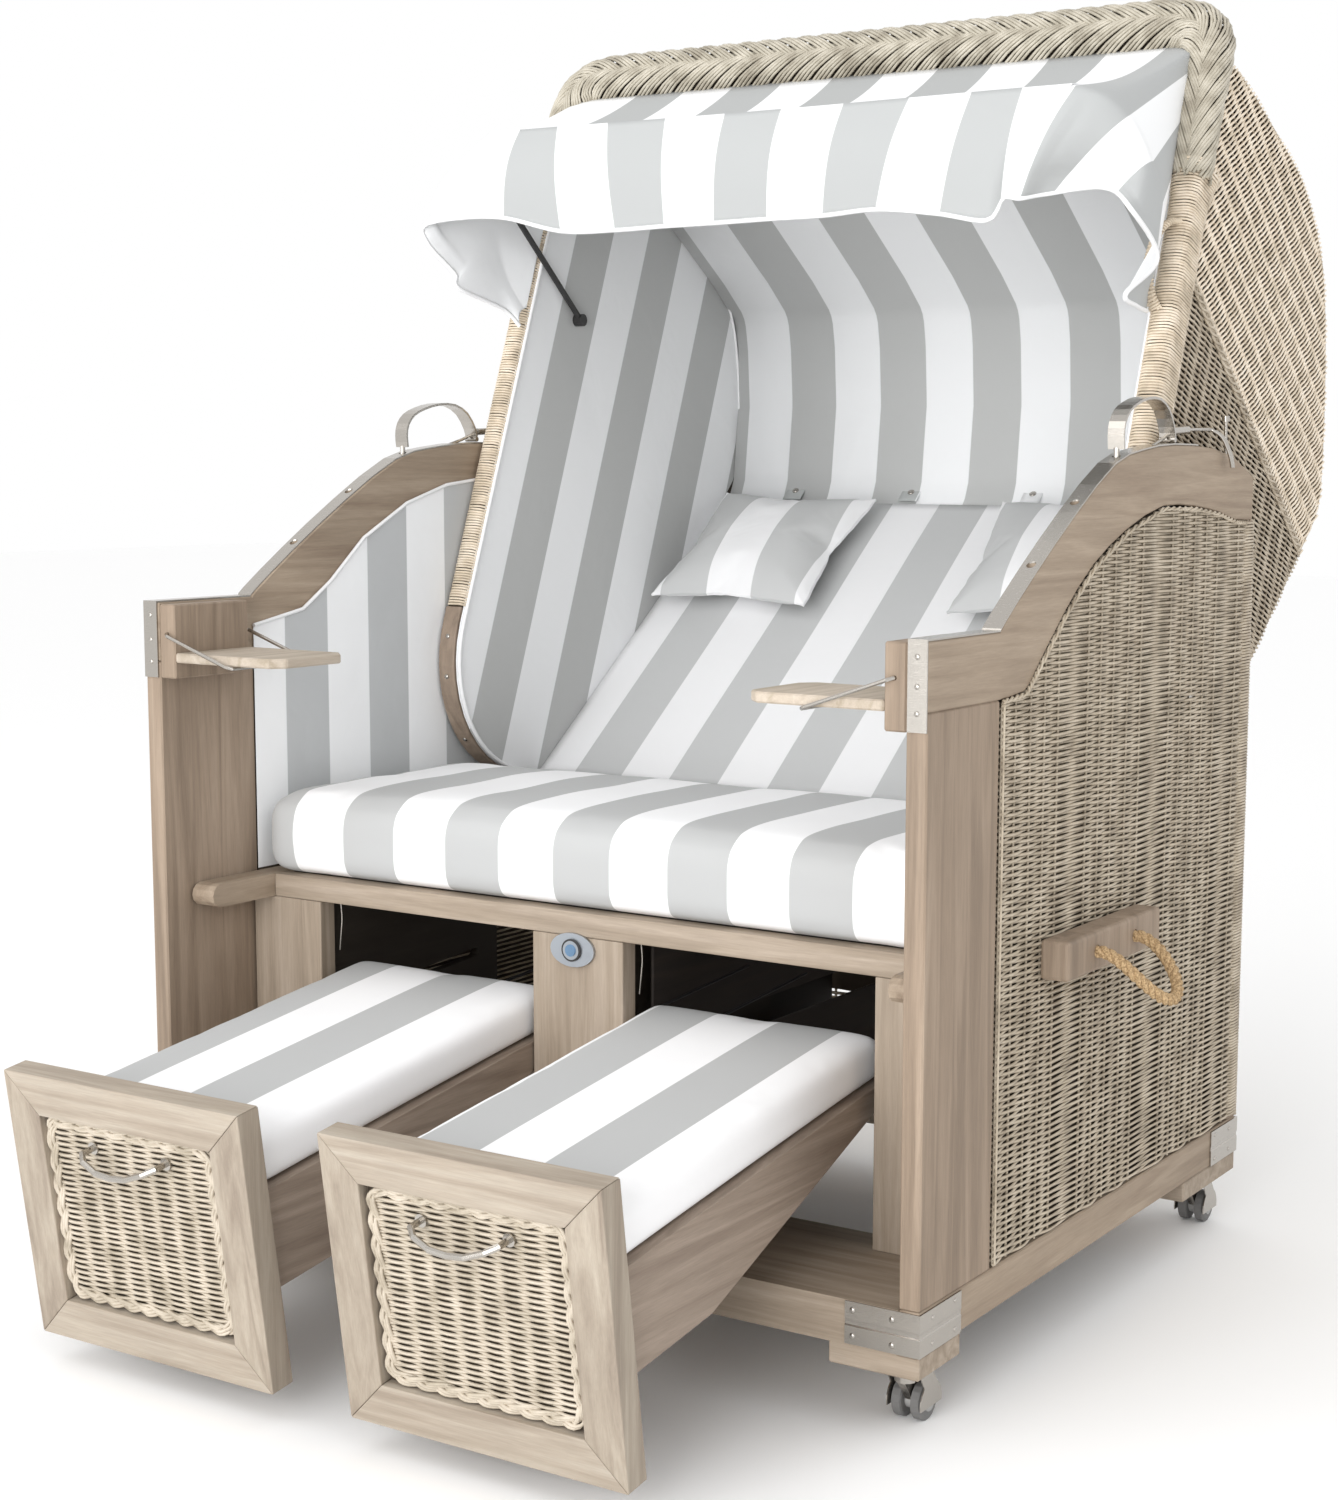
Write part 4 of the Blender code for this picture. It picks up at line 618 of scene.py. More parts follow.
leg_radius, leg_inner = 0.190, 0.155
wall_length = (0.496 - leg_radius * math.cos(wall_lean)) / math.sin(wall_lean)
hood_back_line = [on_wall(leg_radius, -0.100), on_wall(leg_radius, 0.1), on_wall(leg_radius, 0.3),
                  on_wall(leg_radius, 0.5), on_wall(leg_radius, wall_length), (0.496, 0.4907), (0.429, 0.6712),
                  (0.3541, 0.7912), (0.2609, 0.8499), (0.1979, 0.8703), (0.0729, 0.8819), (-0.068, 0.889),
                  (-0.1047, 0.8847)]
leg_arc = [(-0.157 * math.cos(math.radians(t)), -0.157 * math.sin(math.radians(t))) for t in range(0, 116, 10)]


def round_line(line, steps=4):
    """A smooth curve through the points of a line."""
    points = []
    for k in range(len(line) - 1):
        p0, p1 = Vector(line[max(k - 1, 0)]), Vector(line[k])
        p2, p3 = Vector(line[k + 1]), Vector(line[min(k + 2, len(line) - 1)])
        for j in range(steps):
            t = j / steps
            points.append(tuple(0.5 * ((2 * p1) + (p2 - p0) * t + (2 * p0 - 5 * p1 + 4 * p2 - p3) * t * t
                                       + (3 * p1 - 3 * p2 + p3 - p0) * t ** 3)))
    return points + [tuple(line[-1])]


hood_back_curve = hood_back_line[:4] + round_line(hood_back_line[4:])
meeting_start, meeting_end = Vector((-0.157, 0.560)), Vector((0.4466, 0.3491))
lower_field = [(-0.157, 0.560)] + leg_arc + hood_back_line[:4] + [tuple(meeting_end)]
upper_field = [(-0.157, 0.560), tuple(meeting_end)] + hood_back_curve[4:] + [(-0.157, 0.885)]
hood_side_outline = [(-0.157, 0.885)] + leg_arc + hood_back_curve
hood_weave_x = 0.5555
upper_stake_pitch, lower_stake_pitch = 0.0400, 0.0480
upper_slope = math.radians(-18)
for side, sign in sides:
    def on_hood_side(back, up, out):
        lift = noise.noise(Vector((back * 8, up * 8, sign * 5))) * 0.0022
        return on_hood(sign * (hood_weave_x + out), back, up + lift)

    # Dark sheet behind the hood weave: painted shade for the gaps between the rows.
    cloth = cut_out(hood_side_outline, lambda back, up, out: on_hood(sign * out, back, up), 0.5510, 0.5340, painted_shade_backing)
    place_piece(cloth, "hood_backing_" + side, "hood_body", None)
    if side == "left":
        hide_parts("hood_shell")
    rows = weave(lower_field, (1, 0), row_pitch, lambda back, up: back / lower_stake_pitch, swing_out, on_hood_side,
                 0.0080)
    lay_canes("hood_weave_low_" + side, rows, cane_radius, "hood_body")
    rows = weave(upper_field, (0.669, 0.743), row_pitch,
                 lambda back, up: (up * math.cos(upper_slope) - back * math.sin(upper_slope)) / upper_stake_pitch,
                 swing_out, on_hood_side, 0.0080)
    # The upper field is in the pale cane, as painted light from above.
    lay_canes("hood_weave_high_" + side, rows, cane_radius, "hood_body", cane_painted_light)
    stakes = []
    for k in range(-4, 12):
        for low, high in crossings(lower_field, (k * lower_stake_pitch, 0), (0, 1)):
            stakes.append([on_hood_side(k * lower_stake_pitch, low + (high - low) * t / 8, 0) for t in range(9)])
    run = (math.cos(upper_slope), math.sin(upper_slope))
    for k in range(8, 26):
        start = (-run[1] * k * upper_stake_pitch, run[0] * k * upper_stake_pitch)
        for low, high in crossings(upper_field, start, run):
            stakes.append([on_hood_side(start[0] + run[0] * s, start[1] + run[1] * s, 0)
                           for s in [low + (high - low) * t / 8 for t in range(9)]])
    lay_canes("hood_stakes_" + side, stakes, stake_radius, "hood_body")
    seam = []
    for strand in range(4):
        line = []
        for k in range(121):
            spot = meeting_start + (meeting_end - meeting_start) * (k / 120) * 0.98
            turn = 2 * math.pi * (k / 13 + strand / 4)
            line.append(on_hood(sign * (hood_weave_x + 0.0050 + 0.0016 * math.cos(turn)), spot.x,
                                spot.y + 0.0065 * math.sin(turn)))
        seam.append(line)
    lay_canes("hood_weave_seam_" + side, seam, 0.0022, "hood_body")



def distances(line):
    """How far along a line each of its points lies."""
    reach = [0.0]
    for p, q in zip(line, line[1:]):
        reach.append(reach[-1] + math.dist(tuple(p), tuple(q)))
    return reach


back_lengths = distances(hood_back_curve)


def on_hood_back(x, along, out):
    """A point on the outside of the hood's back, at a distance along its outline from the foot."""
    for k in range(len(back_lengths) - 1):
        if along <= back_lengths[k + 1] or k == len(back_lengths) - 2:
            t = (along - back_lengths[k]) / (back_lengths[k + 1] - back_lengths[k])
            (a0, b0), (a1, b1) = hood_back_curve[k], hood_back_curve[k + 1]
            before = hood_back_curve[max(k - 1, 0)]
            after = hood_back_curve[min(k + 2, len(hood_back_curve) - 1)]
            start_run = (Vector((a1, b1)) - Vector(before)).normalized()
            end_run = (Vector(after) - Vector((a0, b0))).normalized()
            run = (start_run * (1 - t) + end_run * t).normalized()
            return on_hood(x, a0 + (a1 - a0) * t + run.y * out, b0 + (b1 - b0) * t - run.x * out)


back_half = 0.5555
back_stake_pitch = 2 * back_half / 26
for part, low, high in (("low", 0.002, back_lengths[-1] / 2), ("high", back_lengths[-1] / 2, back_lengths[-1])):
    back_sheet = [(-back_half, low), (back_half, low), (back_half, high), (-back_half, high)]
    rows = weave(back_sheet, (1, 0), row_pitch, lambda x, along: x / back_stake_pitch + 0.5, 0.0028,
                 lambda x, along, out: on_hood_back(x, along, out - 0.0015), 0.0107)
    lay_canes("hood_weave_back_" + part, rows, cane_radius, "hood_body")
ribs = []
for k in range(27):
    x = -back_half + k * back_stake_pitch
    ribs.append([on_hood_back(x, back_lengths[-1] * t / 60, -0.0015) for t in range(61)])
lay_canes("hood_ribs_back", ribs, stake_radius, "hood_body")

# Hood legs: each upright of the hood is a teak board that runs down from the rim and curves back under the pivot.
# Its lower end stays bare, and a washer and a bolt at the middle of the curve carry the hood.
hood_teak = teak("teak_hood_leg", "z", "#7f6f60", "#8f7e6e", "#9e8d7d")
bare_top = 0.0252
leg_turn = [math.radians(180 + 112 * k / 16) for k in range(17)]
leg_outline = [(-leg_radius, bare_top)] + [(leg_radius * math.cos(t), leg_radius * math.sin(t)) for t in leg_turn]
leg_outline += [(leg_inner * math.cos(t), leg_inner * math.sin(t)) for t in reversed(leg_turn)]
leg_outline += [(-leg_inner, bare_top)]
core_outline = [(-leg_radius, bare_top + 0.0002), (-leg_inner, bare_top + 0.0002), (-leg_inner, 0.900),
                (-leg_radius, 0.900)]


def turned(facets, radius, depth, place, turn, material):
    """A turned disc, bolt or hub, its axis swung from upright by turn."""
    bpy.ops.object.select_all(action="DESELECT")
    bpy.ops.mesh.primitive_cylinder_add(vertices=facets, radius=radius, depth=depth, location=place, rotation=turn)
    bpy.ops.object.transform_apply(location=True, rotation=True, scale=True)
    piece = bpy.context.object
    piece.data.materials.append(material)
    return piece


across_turn = (0, math.pi / 2, 0)
for side, sign in sides:
    def in_hood(back, up, x):
        return on_hood(sign * x, back, up)

    leg = cut_out(leg_outline, in_hood, 0.535, 0.565, hood_teak, 0.0016)
    # The core inside the pillar wrap is the dark sheet: painted shade between the turns.
    core = cut_out(core_outline, in_hood, 0.535, 0.562, painted_shade_backing, 0.0016)
    pillar = join_pieces([leg, core], "hood_leg_" + side, "hood_body")
    if side == "left":
        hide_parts("hood_frame")
    washer = turned(40, 0.030, 0.0160, (sign * 0.5615, *hood_pivot.yz), across_turn, steel)
    bolt = turned(24, 0.0060, 0.0300, (sign * 0.5850, *hood_pivot.yz), across_turn, steel)
    join_pieces([washer, bolt], "pivot_bolt_" + side, "hood_body")

# Hood pillars: each upright is wrapped in cane from the end of the plait down to the bare leg. On the right one
# the wrap carries a flat wrapped grip that bows out from the pillar's inner edge.
pillar_section = [(0.0185, -0.0105), (0.0190, 0.0), (0.0190, 0.0260), (0.0170, 0.0350), (0.0110, 0.0390),
                  (0.0, 0.0215), (-0.0105, 0.0195), (-0.0105, 0.0), (-0.0105, -0.0075), (-0.0165, -0.0080),
                  (-0.0165, -0.0120), (-0.0139, -0.0169), (-0.0075, -0.0195), (0.0075, -0.0195), (0.0139, -0.0169)]
wrap_high = 0.703
pillar_x, pillar_back = 0.5475, -0.1725
for side, sign in sides:
    def round_pillar(uv, t):
        up = bare_top + (wrap_high - bare_top) * t + 0.0008 * noise.noise(Vector((t * 90, sign, uv[0] * 40)))
        grow = 1 + 0.38 * max(0.0, (t - 0.90) / 0.10) ** 1.5
        return on_hood(sign * (pillar_x + uv[0] * grow), pillar_back + uv[1] * grow, up)

    line = wrap(pillar_section, round_pillar, wrap_pitch / (wrap_high - bare_top))
    lay_canes("pillar_wrap_" + side, [line], cane_radius, "hood_body", cane_light)
grip_keys = [(0.5525, -0.190, 0.612), (0.5455, -0.204, 0.607), (0.5375, -0.216, 0.588), (0.5320, -0.220, 0.560),
             (0.5305, -0.217, 0.530), (0.5335, -0.208, 0.502), (0.5405, -0.194, 0.484)]
grip_line = round_line(grip_keys, 6)
grip_turns, grip_cores = [], []
grip_narrow, grip_wide = 0.0035, 0.0085
grip_winds, per_turn = 34, 12
steps = grip_winds * per_turn
for k in range(steps + 1):
    along = k / steps * (len(grip_line) - 1)
    i = min(int(along), len(grip_line) - 2)
    here, ahead = Vector(grip_line[i]), Vector(grip_line[i + 1])
    spot = here.lerp(ahead, along - i)
    run = (ahead - here).normalized()
    wide_axis = (Vector((1, 0, 0)) - run * run.x).normalized()
    thin_axis = run.cross(wide_axis)
    width = grip_narrow + (grip_wide - grip_narrow) * k / steps
    angle = 2 * math.pi * k / per_turn
    out = wide_axis * width * math.cos(angle) + thin_axis * 0.0032 * math.sin(angle)
    grip_turns.append(on_hood(*(spot + out)))
lay_canes("grip_wrap", [grip_turns], 0.0020, "hood_body", cane_light)
for offset in (-0.0045, 0.0, 0.0045):
    grip_cores.append([on_hood(x + offset * k / (len(grip_line) - 1), a, b) for k, (x, a, b) in enumerate(grip_line)])
lay_canes("grip_core", grip_cores, 0.0030, "hood_body", cane_light, rounder=1)

# Plaited rim: bundles of four canes rise from both edges of the rim, run forward along it and dive under each
# other in a chevron. The plait runs along the top and turns down both corners to the wrapped pillars.
rim_keys = [(-0.5475, -0.1725, 0.676, 0.0265, 0.0250), (-0.5475, -0.1725, 0.740, 0.0270, 0.0250),
            (-0.5470, -0.1715, 0.800, 0.0280, 0.0255), (-0.5440, -0.1670, 0.850, 0.0320, 0.0280),
            (-0.5330, -0.1570, 0.893, 0.0390, 0.0340), (-0.5080, -0.1495, 0.914, 0.0430, 0.0390),
            (-0.4700, -0.1475, 0.919, 0.0440, 0.0410)]
rim_keys += [(-0.4700 + 0.94 * k / 12, -0.1475, 0.919, 0.0440, 0.0410) for k in range(1, 12)]
rim_keys += [(-x, a, b, deep, high) for x, a, b, deep, high in reversed(rim_keys[:7])]
rim_line = round_line(rim_keys, 5)
rim_points = [on_hood(*key[:3]) for key in rim_line]
rim_lengths = distances(rim_points)
hood_forward = (on_hood(0, -1, 0) - on_hood(0, 0, 0)).normalized()


def on_rim(along, angle, lift):
    """A point round the rim: angle 0 faces out of the hood's opening, 90 degrees away from the opening's middle."""
    along = min(max(along, 0.0), rim_lengths[-1] - 1e-6)
    k = min(max(i for i, length in enumerate(rim_lengths) if length <= along), len(rim_points) - 2)
    t = (along - rim_lengths[k]) / (rim_lengths[k + 1] - rim_lengths[k])
    spot = rim_points[k].lerp(rim_points[k + 1], t)
    deep = rim_line[k][3] + (rim_line[k + 1][3] - rim_line[k][3]) * t + lift
    high = rim_line[k][4] + (rim_line[k + 1][4] - rim_line[k][4]) * t + lift
    run = (rim_points[min(k + 3, len(rim_points) - 1)] - rim_points[max(k - 2, 0)]).normalized()
    outward = hood_forward.cross(run).normalized()
    return spot + hood_forward * deep * math.cos(angle) + outward * high * math.sin(angle)


plait = []
bundle_step, bundle_run, strand_step = 0.0360, 0.155, 0.0079
plait_middle = math.radians(8)
turn_keys = [(-0.80, 226), (0.0, 118), (0.2, 92), (0.5, 44), (0.8, 4), (1.0, -22)]
for bundle in range(-6, int(rim_lengths[-1] / bundle_step) + 1):
    for hand in (-1, 1):
        for strand in range(4):
            line = []
            start = (bundle + (0.5 if hand > 0 else 0.0)) * bundle_step + strand * strand_step
            for k in range(-11 if hand > 0 else 0, 15):
                t = k / 14
                along = start + bundle_run * t
                if not 0.0 <= along <= rim_lengths[-1]:
                    continue
                i = max(j for j in range(len(turn_keys) - 1) if turn_keys[j][0] <= t)
                (t0, a0), (t1, a1) = turn_keys[i], turn_keys[i + 1]
                swing = math.radians(a0 + (a1 - a0) * (t - t0) / (t1 - t0))
                lift = 0.0035 * math.sin(math.pi * min(1.0, max(t, 0.0) / 0.80)) - 0.0080 * max(0.0, t - 0.76) / 0.24
                lift += 0.0026 * math.sin(math.pi * (strand + 0.5) / 4)
                line.append(on_rim(along, plait_middle + hand * swing, lift))
            if len(line) > 3:
                plait.append(line)
lay_canes("plaited_rim", plait, 0.0023, "hood_body", cane_grey, rounder=1)


def soft_grid(name, columns, rows, place, thickness, material, body):
    """A sheet of cloth shaped by place(u, v), with u and v from 0 to 1."""
    bpy.ops.object.select_all(action="DESELECT")
    bpy.ops.mesh.primitive_grid_add(x_subdivisions=columns, y_subdivisions=rows, size=1)
    piece = bpy.context.object
    for vertex in piece.data.vertices:
        vertex.co = place(vertex.co.x + 0.5, vertex.co.y + 0.5)
    bpy.ops.object.mode_set(mode="EDIT")
    bpy.ops.mesh.select_all(action="SELECT")
    bpy.ops.mesh.normals_make_consistent(inside=False)
    bpy.ops.object.mode_set(mode="OBJECT")
    cloth = piece.modifiers.new("cloth", "SOLIDIFY")
    cloth.thickness = thickness
    cloth.offset = 0
    bpy.ops.object.modifier_apply(modifier=cloth.name)
    bpy.ops.object.shade_smooth()
    return place_piece(piece, name, body, material)


def rim_core(u, v):
    return on_rim(rim_lengths[-1] * u, 2 * math.pi * v, -0.0055)


# Dark core under the plait: painted shade between its strands.
soft_grid("rim_core", 90, 24, rim_core, 0.0012, painted_shade_backing, "hood_body")

# Hood lining: canvas is tacked over the boards inside the hood. Each side has one sheet with its bands along the
# pillar and a rolled front edge, and another sheet runs over the ceiling and down the upper back.
lining_axis = (0, math.cos(hood_lean), -math.sin(hood_lean))
lining_zero = hood_pivot.y * math.cos(hood_lean) - hood_pivot.z * math.sin(hood_lean)
hood_side_canvas = striped_canvas("canvas_hood_side", lining_axis, lining_zero - 0.110, 0.0945, "#bcbdbc",
                                  "#f4f5f6", 0.3)
hood_back_canvas = striped_canvas("canvas_hood_back", (1, 0, 0), -0.4155, 0.0903, "#c0c1c0", "#f8f9fa", 0.22)
lining_outline = [(-0.187, 0.878), (-0.187, 0.30)]
for k in range(12):
    angle = math.radians(180 + 102 * k / 11)
    lining_outline.append((0.187 * math.cos(angle), 0.187 * math.sin(angle)))
lining_outline += [on_wall(0.176, -0.09), on_wall(0.176, 0.20), on_wall(0.176, 0.45), (0.472, 0.470), (0.470, 0.560),
                   (0.402, 0.690), (0.346, 0.766), (0.208, 0.822), (0.050, 0.848)]


for side, sign in sides:
    lining = cut_out(lining_outline, lambda back, up, out: on_hood(sign * out, back, up), 0.5329, 0.5316,
                     hood_side_canvas)
    place_piece(lining, "hood_lining_" + side, "hood_body", None)
    edge = [(-0.183, 0.860), (-0.183, 0.30)]
    edge += [(0.183 * math.cos(math.radians(a)), 0.183 * math.sin(math.radians(a))) for a in range(180, 281, 5)]
    lay_canes("hood_lining_roll_" + side, [[on_hood(sign * 0.5290, a, b) for a, b in edge]], 0.0032, "hood_body",
              piping_white, 1)
    bow = round_line([(0.474, 0.470), (0.458, 0.559), (0.398, 0.690), (0.335, 0.760), (0.206, 0.806), (0.050, 0.838)])
    lay_canes("hood_bow_piping_" + side, [[on_hood(sign * 0.5290, a, b) for a, b in bow]], 0.0026, "hood_body",
              piping_white, 1)

back_line = [(0.4560, 0.4010), (0.4700, 0.4400), (0.4720, 0.470), (0.441, 0.600), (0.399, 0.694), (0.376, 0.732),
             (0.362, 0.744), (0.290, 0.768), (0.100, 0.815), (-0.120, 0.868)]
back_reach = distances(back_line)


def along_line(line, reach, share):
    """The point at a share of a line's length."""
    target = share * reach[-1]
    for k in range(len(line) - 1):
        if target <= reach[k + 1] + 1e-9:
            t = (target - reach[k]) / (reach[k + 1] - reach[k])
            return tuple(p + (q - p) * t for p, q in zip(line[k], line[k + 1]))
    return line[-1]


def back_lining(u, v):
    a, b = along_line(back_line, back_reach, v)
    return on_hood(-0.5300 + 1.0600 * u, a, b)


soft_grid("hood_back_lining", 2, 60, back_lining, 0.0012, hood_back_canvas, "hood_body")

# Backrest: a long plain pad with the seat's bands lies on the lower back wall. It is held by four tabs that hang
# from the lower edge of the upper lining and close with steel snaps.
backrest_canvas = striped_canvas("canvas_backrest", (1, 0, 0), -0.4585, 0.0912, grey="#c4c5c5", wrinkle=0.2)


def on_rest(x, along, out):
    """A point on the backrest: out is the height over its front face."""
    a, b = on_wall(0.1638 - out, along)
    return on_hood(x, a, b)


def rest_pad(u, v):
    x = -0.5305 + 1.061 * u
    along = -0.095 + 0.700 * v
    edge = min(u, 1 - u) * 1.061
    puff = 0.0035 * (1 - max(0, 1 - edge / 0.04) ** 2)
    puff += 0.0010 * math.sin(2 * math.pi * v * 1.5) * math.sin(math.pi * u)
    return on_rest(x, along, puff - 0.0040)


backrest_pad = soft_grid("backrest_pad", 60, 40, rest_pad, 0.012, backrest_canvas, "hood_body")
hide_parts("backrest")
fold = [on_rest(-0.528 + 1.056 * k / 24, 0.655 + 0.001 * math.sin(k * 1.7), 0.004 + 0.0015 * math.cos(k * 2.3))
        for k in range(25)]
lay_canes("hood_back_hem", [fold], 0.0045, "hood_body", hood_back_canvas, 1)
tab_cloth = striped_canvas("canvas_tabs", (1, 0, 0), -0.4155, 0.0903, "#b4b7b6", "#eff0f1", 0.3)


def domed_head(place, outward, radius, segments=14, flatness=0.5):
    """The domed steel head of a snap or a screw, facing outward."""
    bpy.ops.object.select_all(action="DESELECT")
    bpy.ops.mesh.primitive_uv_sphere_add(segments=segments, ring_count=segments // 2, radius=radius,
                                         scale=(1, 1, flatness))
    head = bpy.context.object
    bpy.ops.object.transform_apply(location=True, rotation=True, scale=True)
    turn = Vector((0, 0, 1)).rotation_difference(Vector(outward)).to_matrix().to_4x4()
    move_mesh(head, Matrix.Translation(place) @ turn)
    bpy.ops.object.shade_smooth()
    head.data.materials.append(steel)
    return head


tab_width = 0.036
for number, middle in enumerate((-0.393, -0.160, 0.072, 0.305)):
    low, high = middle - tab_width / 2, middle + tab_width / 2
    soft_grid("snap_tab_%d" % number, 3, 6,
              lambda u, v: on_rest(low + (high - low) * u, 0.612 + 0.052 * v, 0.0062 + 0.006 * v), 0.0016, tab_cloth,
              "hood_body")
    snap = domed_head(on_rest(middle, 0.632, 0.0100), on_rest(0, 0, 1) - on_rest(0, 0, 0), 0.0062, 16, 0.45)
    place_piece(snap, "snap_%d" % number, "hood_body", None)

# Pillows: two small feather pillows in the same canvas lie on the backrest. Their covers are sewn flat, so the
# filling leaves pointed corners and short creases along the seams.
for side, centre_x, edge in (("left", -0.3475, -0.4890), ("right", 0.2150, 0.0640)):
    cover = striped_canvas("canvas_pillow_" + side, (1, 0, 0), edge, 0.0905, grey="#c4c5c5", wrinkle=0.35)
    bpy.ops.object.select_all(action="DESELECT")
    bpy.ops.mesh.primitive_cube_add(size=1, location=(0, 0, 0), scale=(0.325, 0.298, 0.012))
    pillow = bpy.context.object
    bpy.ops.object.transform_apply(location=True, rotation=True, scale=True)
    bpy.ops.object.mode_set(mode="EDIT")
    bpy.ops.mesh.subdivide(number_cuts=35)
    bpy.ops.object.mode_set(mode="OBJECT")
    flat = [vertex.co.copy() for vertex in pillow.data.vertices]
    blow_up(pillow, 6, 5, 0.2, 25, 0.15, 8, 25)
    for vertex, start in zip(pillow.data.vertices, flat):
        vertex.co.x = start.x + (vertex.co.x - start.x) * 0.4
        vertex.co.y = start.y + (vertex.co.y - start.y) * 0.4
    tallest = max(abs(vertex.co.z) for vertex in pillow.data.vertices)
    for vertex in pillow.data.vertices:
        vertex.co.z *= 0.045 / tallest
        if vertex.co.z < 0:
            vertex.co.z *= 0.86
    round_off(pillow)
    lie = Matrix.Rotation(math.radians(-2 if side == "left" else 3), 4, "Z")
    for vertex in pillow.data.vertices:
        spot = lie @ vertex.co
        vertex.co = on_rest(centre_x + spot.x, 0.432 + spot.y, 0.0440 + spot.z)
    place_piece(pillow, "pillow_cover_" + side, "hood_body", cover)
    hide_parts("pillow_" + side)

# Awning: one striped canvas is held under the plait, runs over the bail's bar, and hangs down in front with a wing
# on each side that is tacked along the pillar. A white binding is sewn round its free edge.
bail_finish = grained("black_powder_coat", "#2b2a2a", 0.45, 600, 0.2, 0.0003)
finish_node("awning_bail", bail_finish)
awning_width = 0.93


def hood_place(x, y, z):
    """Turns a point of the chair, measured from the front of the posts, into hood distances."""
    dy, dz = y - 0.765, z - 0.800
    return (x, dy * math.cos(hood_lean) - dz * math.sin(hood_lean),
            dy * math.sin(hood_lean) + dz * math.cos(hood_lean))


right_hem = [(0.300, 0.288, 0.592, 1.446), (0.375, 0.366, 0.590, 1.4335), (0.400, 0.383, 0.600, 1.462),
             (0.484, 0.406, 0.604, 1.461), (0.560, 0.428, 0.633, 1.468), (0.640, 0.498, 0.668, 1.476),
             (0.700, 0.556, 0.624, 1.441), (0.760, 0.552, 0.724, 1.387), (0.830, 0.546, 0.635, 1.335),
             (0.880, 0.537, 0.693, 1.323), (0.930, 0.531, 0.741, 1.319)]
front_hem = [(-0.4134, -0.444, 1.4745), (-0.323, -0.338, 1.4504), (-0.2366, -0.243, 1.4476),
             (-0.1455, -0.155, 1.4493), (-0.0518, -0.066, 1.450), (0.0393, 0.0236, 1.4514), (0.127, 0.112, 1.4519),
             (0.217, 0.196, 1.4560)]
left_hem = [(-0.930, -0.531, 0.743, 1.324), (-0.860, -0.545, 0.718, 1.350), (-0.790, -0.560, 0.628, 1.377),
            (-0.720, -0.568, 0.629, 1.399), (-0.640, -0.583, 0.585, 1.440), (-0.570, -0.584, 0.577, 1.468),
            (-0.490, -0.525, 0.588, 1.4775)]
hem_keys = left_hem + [(m, x, 0.594, z) for m, x, z in front_hem] + right_hem
hem_keys = [(m, *hood_place(x, y, z)) for m, x, y, z in hem_keys]
ridge_half = [(0.0, 0.0, -0.4266, 0.6968), (0.43, 0.43, -0.4270, 0.6985), (0.48, 0.477, -0.4225, 0.6985),
              (0.53, 0.5150, -0.3980, 0.6930), (0.58, 0.5370, -0.3560, 0.6800), (0.66, 0.5520, -0.3080, 0.6450),
              (0.75, 0.5580, -0.2680, 0.6050), (0.85, 0.5480, -0.2330, 0.5500), (0.93, 0.5320, -0.1990, 0.5150)]
ridge_keys = [(-m, -x, a, b) for m, x, a, b in reversed(ridge_half[1:])] + ridge_half


def smooth_keys(keys, m):
    """A smooth curve through points that are keyed by m."""
    k = max(i for i in range(len(keys) - 1) if keys[i][0] <= m or i == 0)
    p1, p2 = Vector(keys[k][1:]), Vector(keys[k + 1][1:])
    p0 = Vector(keys[max(k - 1, 0)][1:])
    p3 = Vector(keys[min(k + 2, len(keys) - 1)][1:])
    t = min(max((m - keys[k][0]) / (keys[k + 1][0] - keys[k][0]), 0), 1)
    return 0.5 * ((2 * p1) + (p2 - p0) * t + (2 * p0 - 5 * p1 + 4 * p2 - p3) * t * t
                  + (3 * p1 - 3 * p2 + p3 - p0) * t ** 3)


def awning_spot(u, v):
    """u runs across the cloth, v from the rim (0) over the ridge (0.5) to the hem (1)."""
    m = (2 * u - 1) * awning_width
    reach = abs(m)
    if reach < 0.528:
        start = Vector((m, -0.1760, 0.884))
    else:
        drop = (reach - 0.528) / (awning_width - 0.528)
        start = Vector((math.copysign(0.5310, m), -0.1760 - 0.0190 * min(1, drop * 4), 0.884 - 0.366 * drop))
    ridge = smooth_keys(ridge_keys, m)
    hem = smooth_keys(hem_keys, m)
    if v <= 0.5:
        t = v * 2
        spot = start.lerp(ridge, t)
        inner = max(0.0, 1 - (reach / 0.56) ** 4)
        sag = 0.036 * math.sin(math.pi * t ** 0.9) * inner
        wave = 0.0035 * math.sin(9 * m + 2.0 * t) * math.sin(math.pi * t)
        return Vector((spot.x, spot.y, spot.z - sag + wave * inner))
    t = v * 2 - 1
    spot = ridge.lerp(hem, t)
    belly = 0.012 * math.sin(math.pi * t) * (1 if reach < 0.5 else 0.4)
    ripple = 0.0045 * math.sin(13 * m + 0.8) * t * (1 - t) * 2
    full = math.exp(-((m - 0.60) / 0.09) ** 2) + math.exp(-((m + 0.60) / 0.09) ** 2)
    push = 0.018 * full * math.sin(math.pi * min(1.0, t * 1.25)) ** 0.7 if t < 0.8 else 0.0
    return Vector((spot.x + math.copysign(push, m), spot.y - belly - ripple - push,
                   spot.z + 0.002 * math.sin(math.pi * t)))


def awning_place(u, v):
    return on_hood(*awning_spot(u, v))


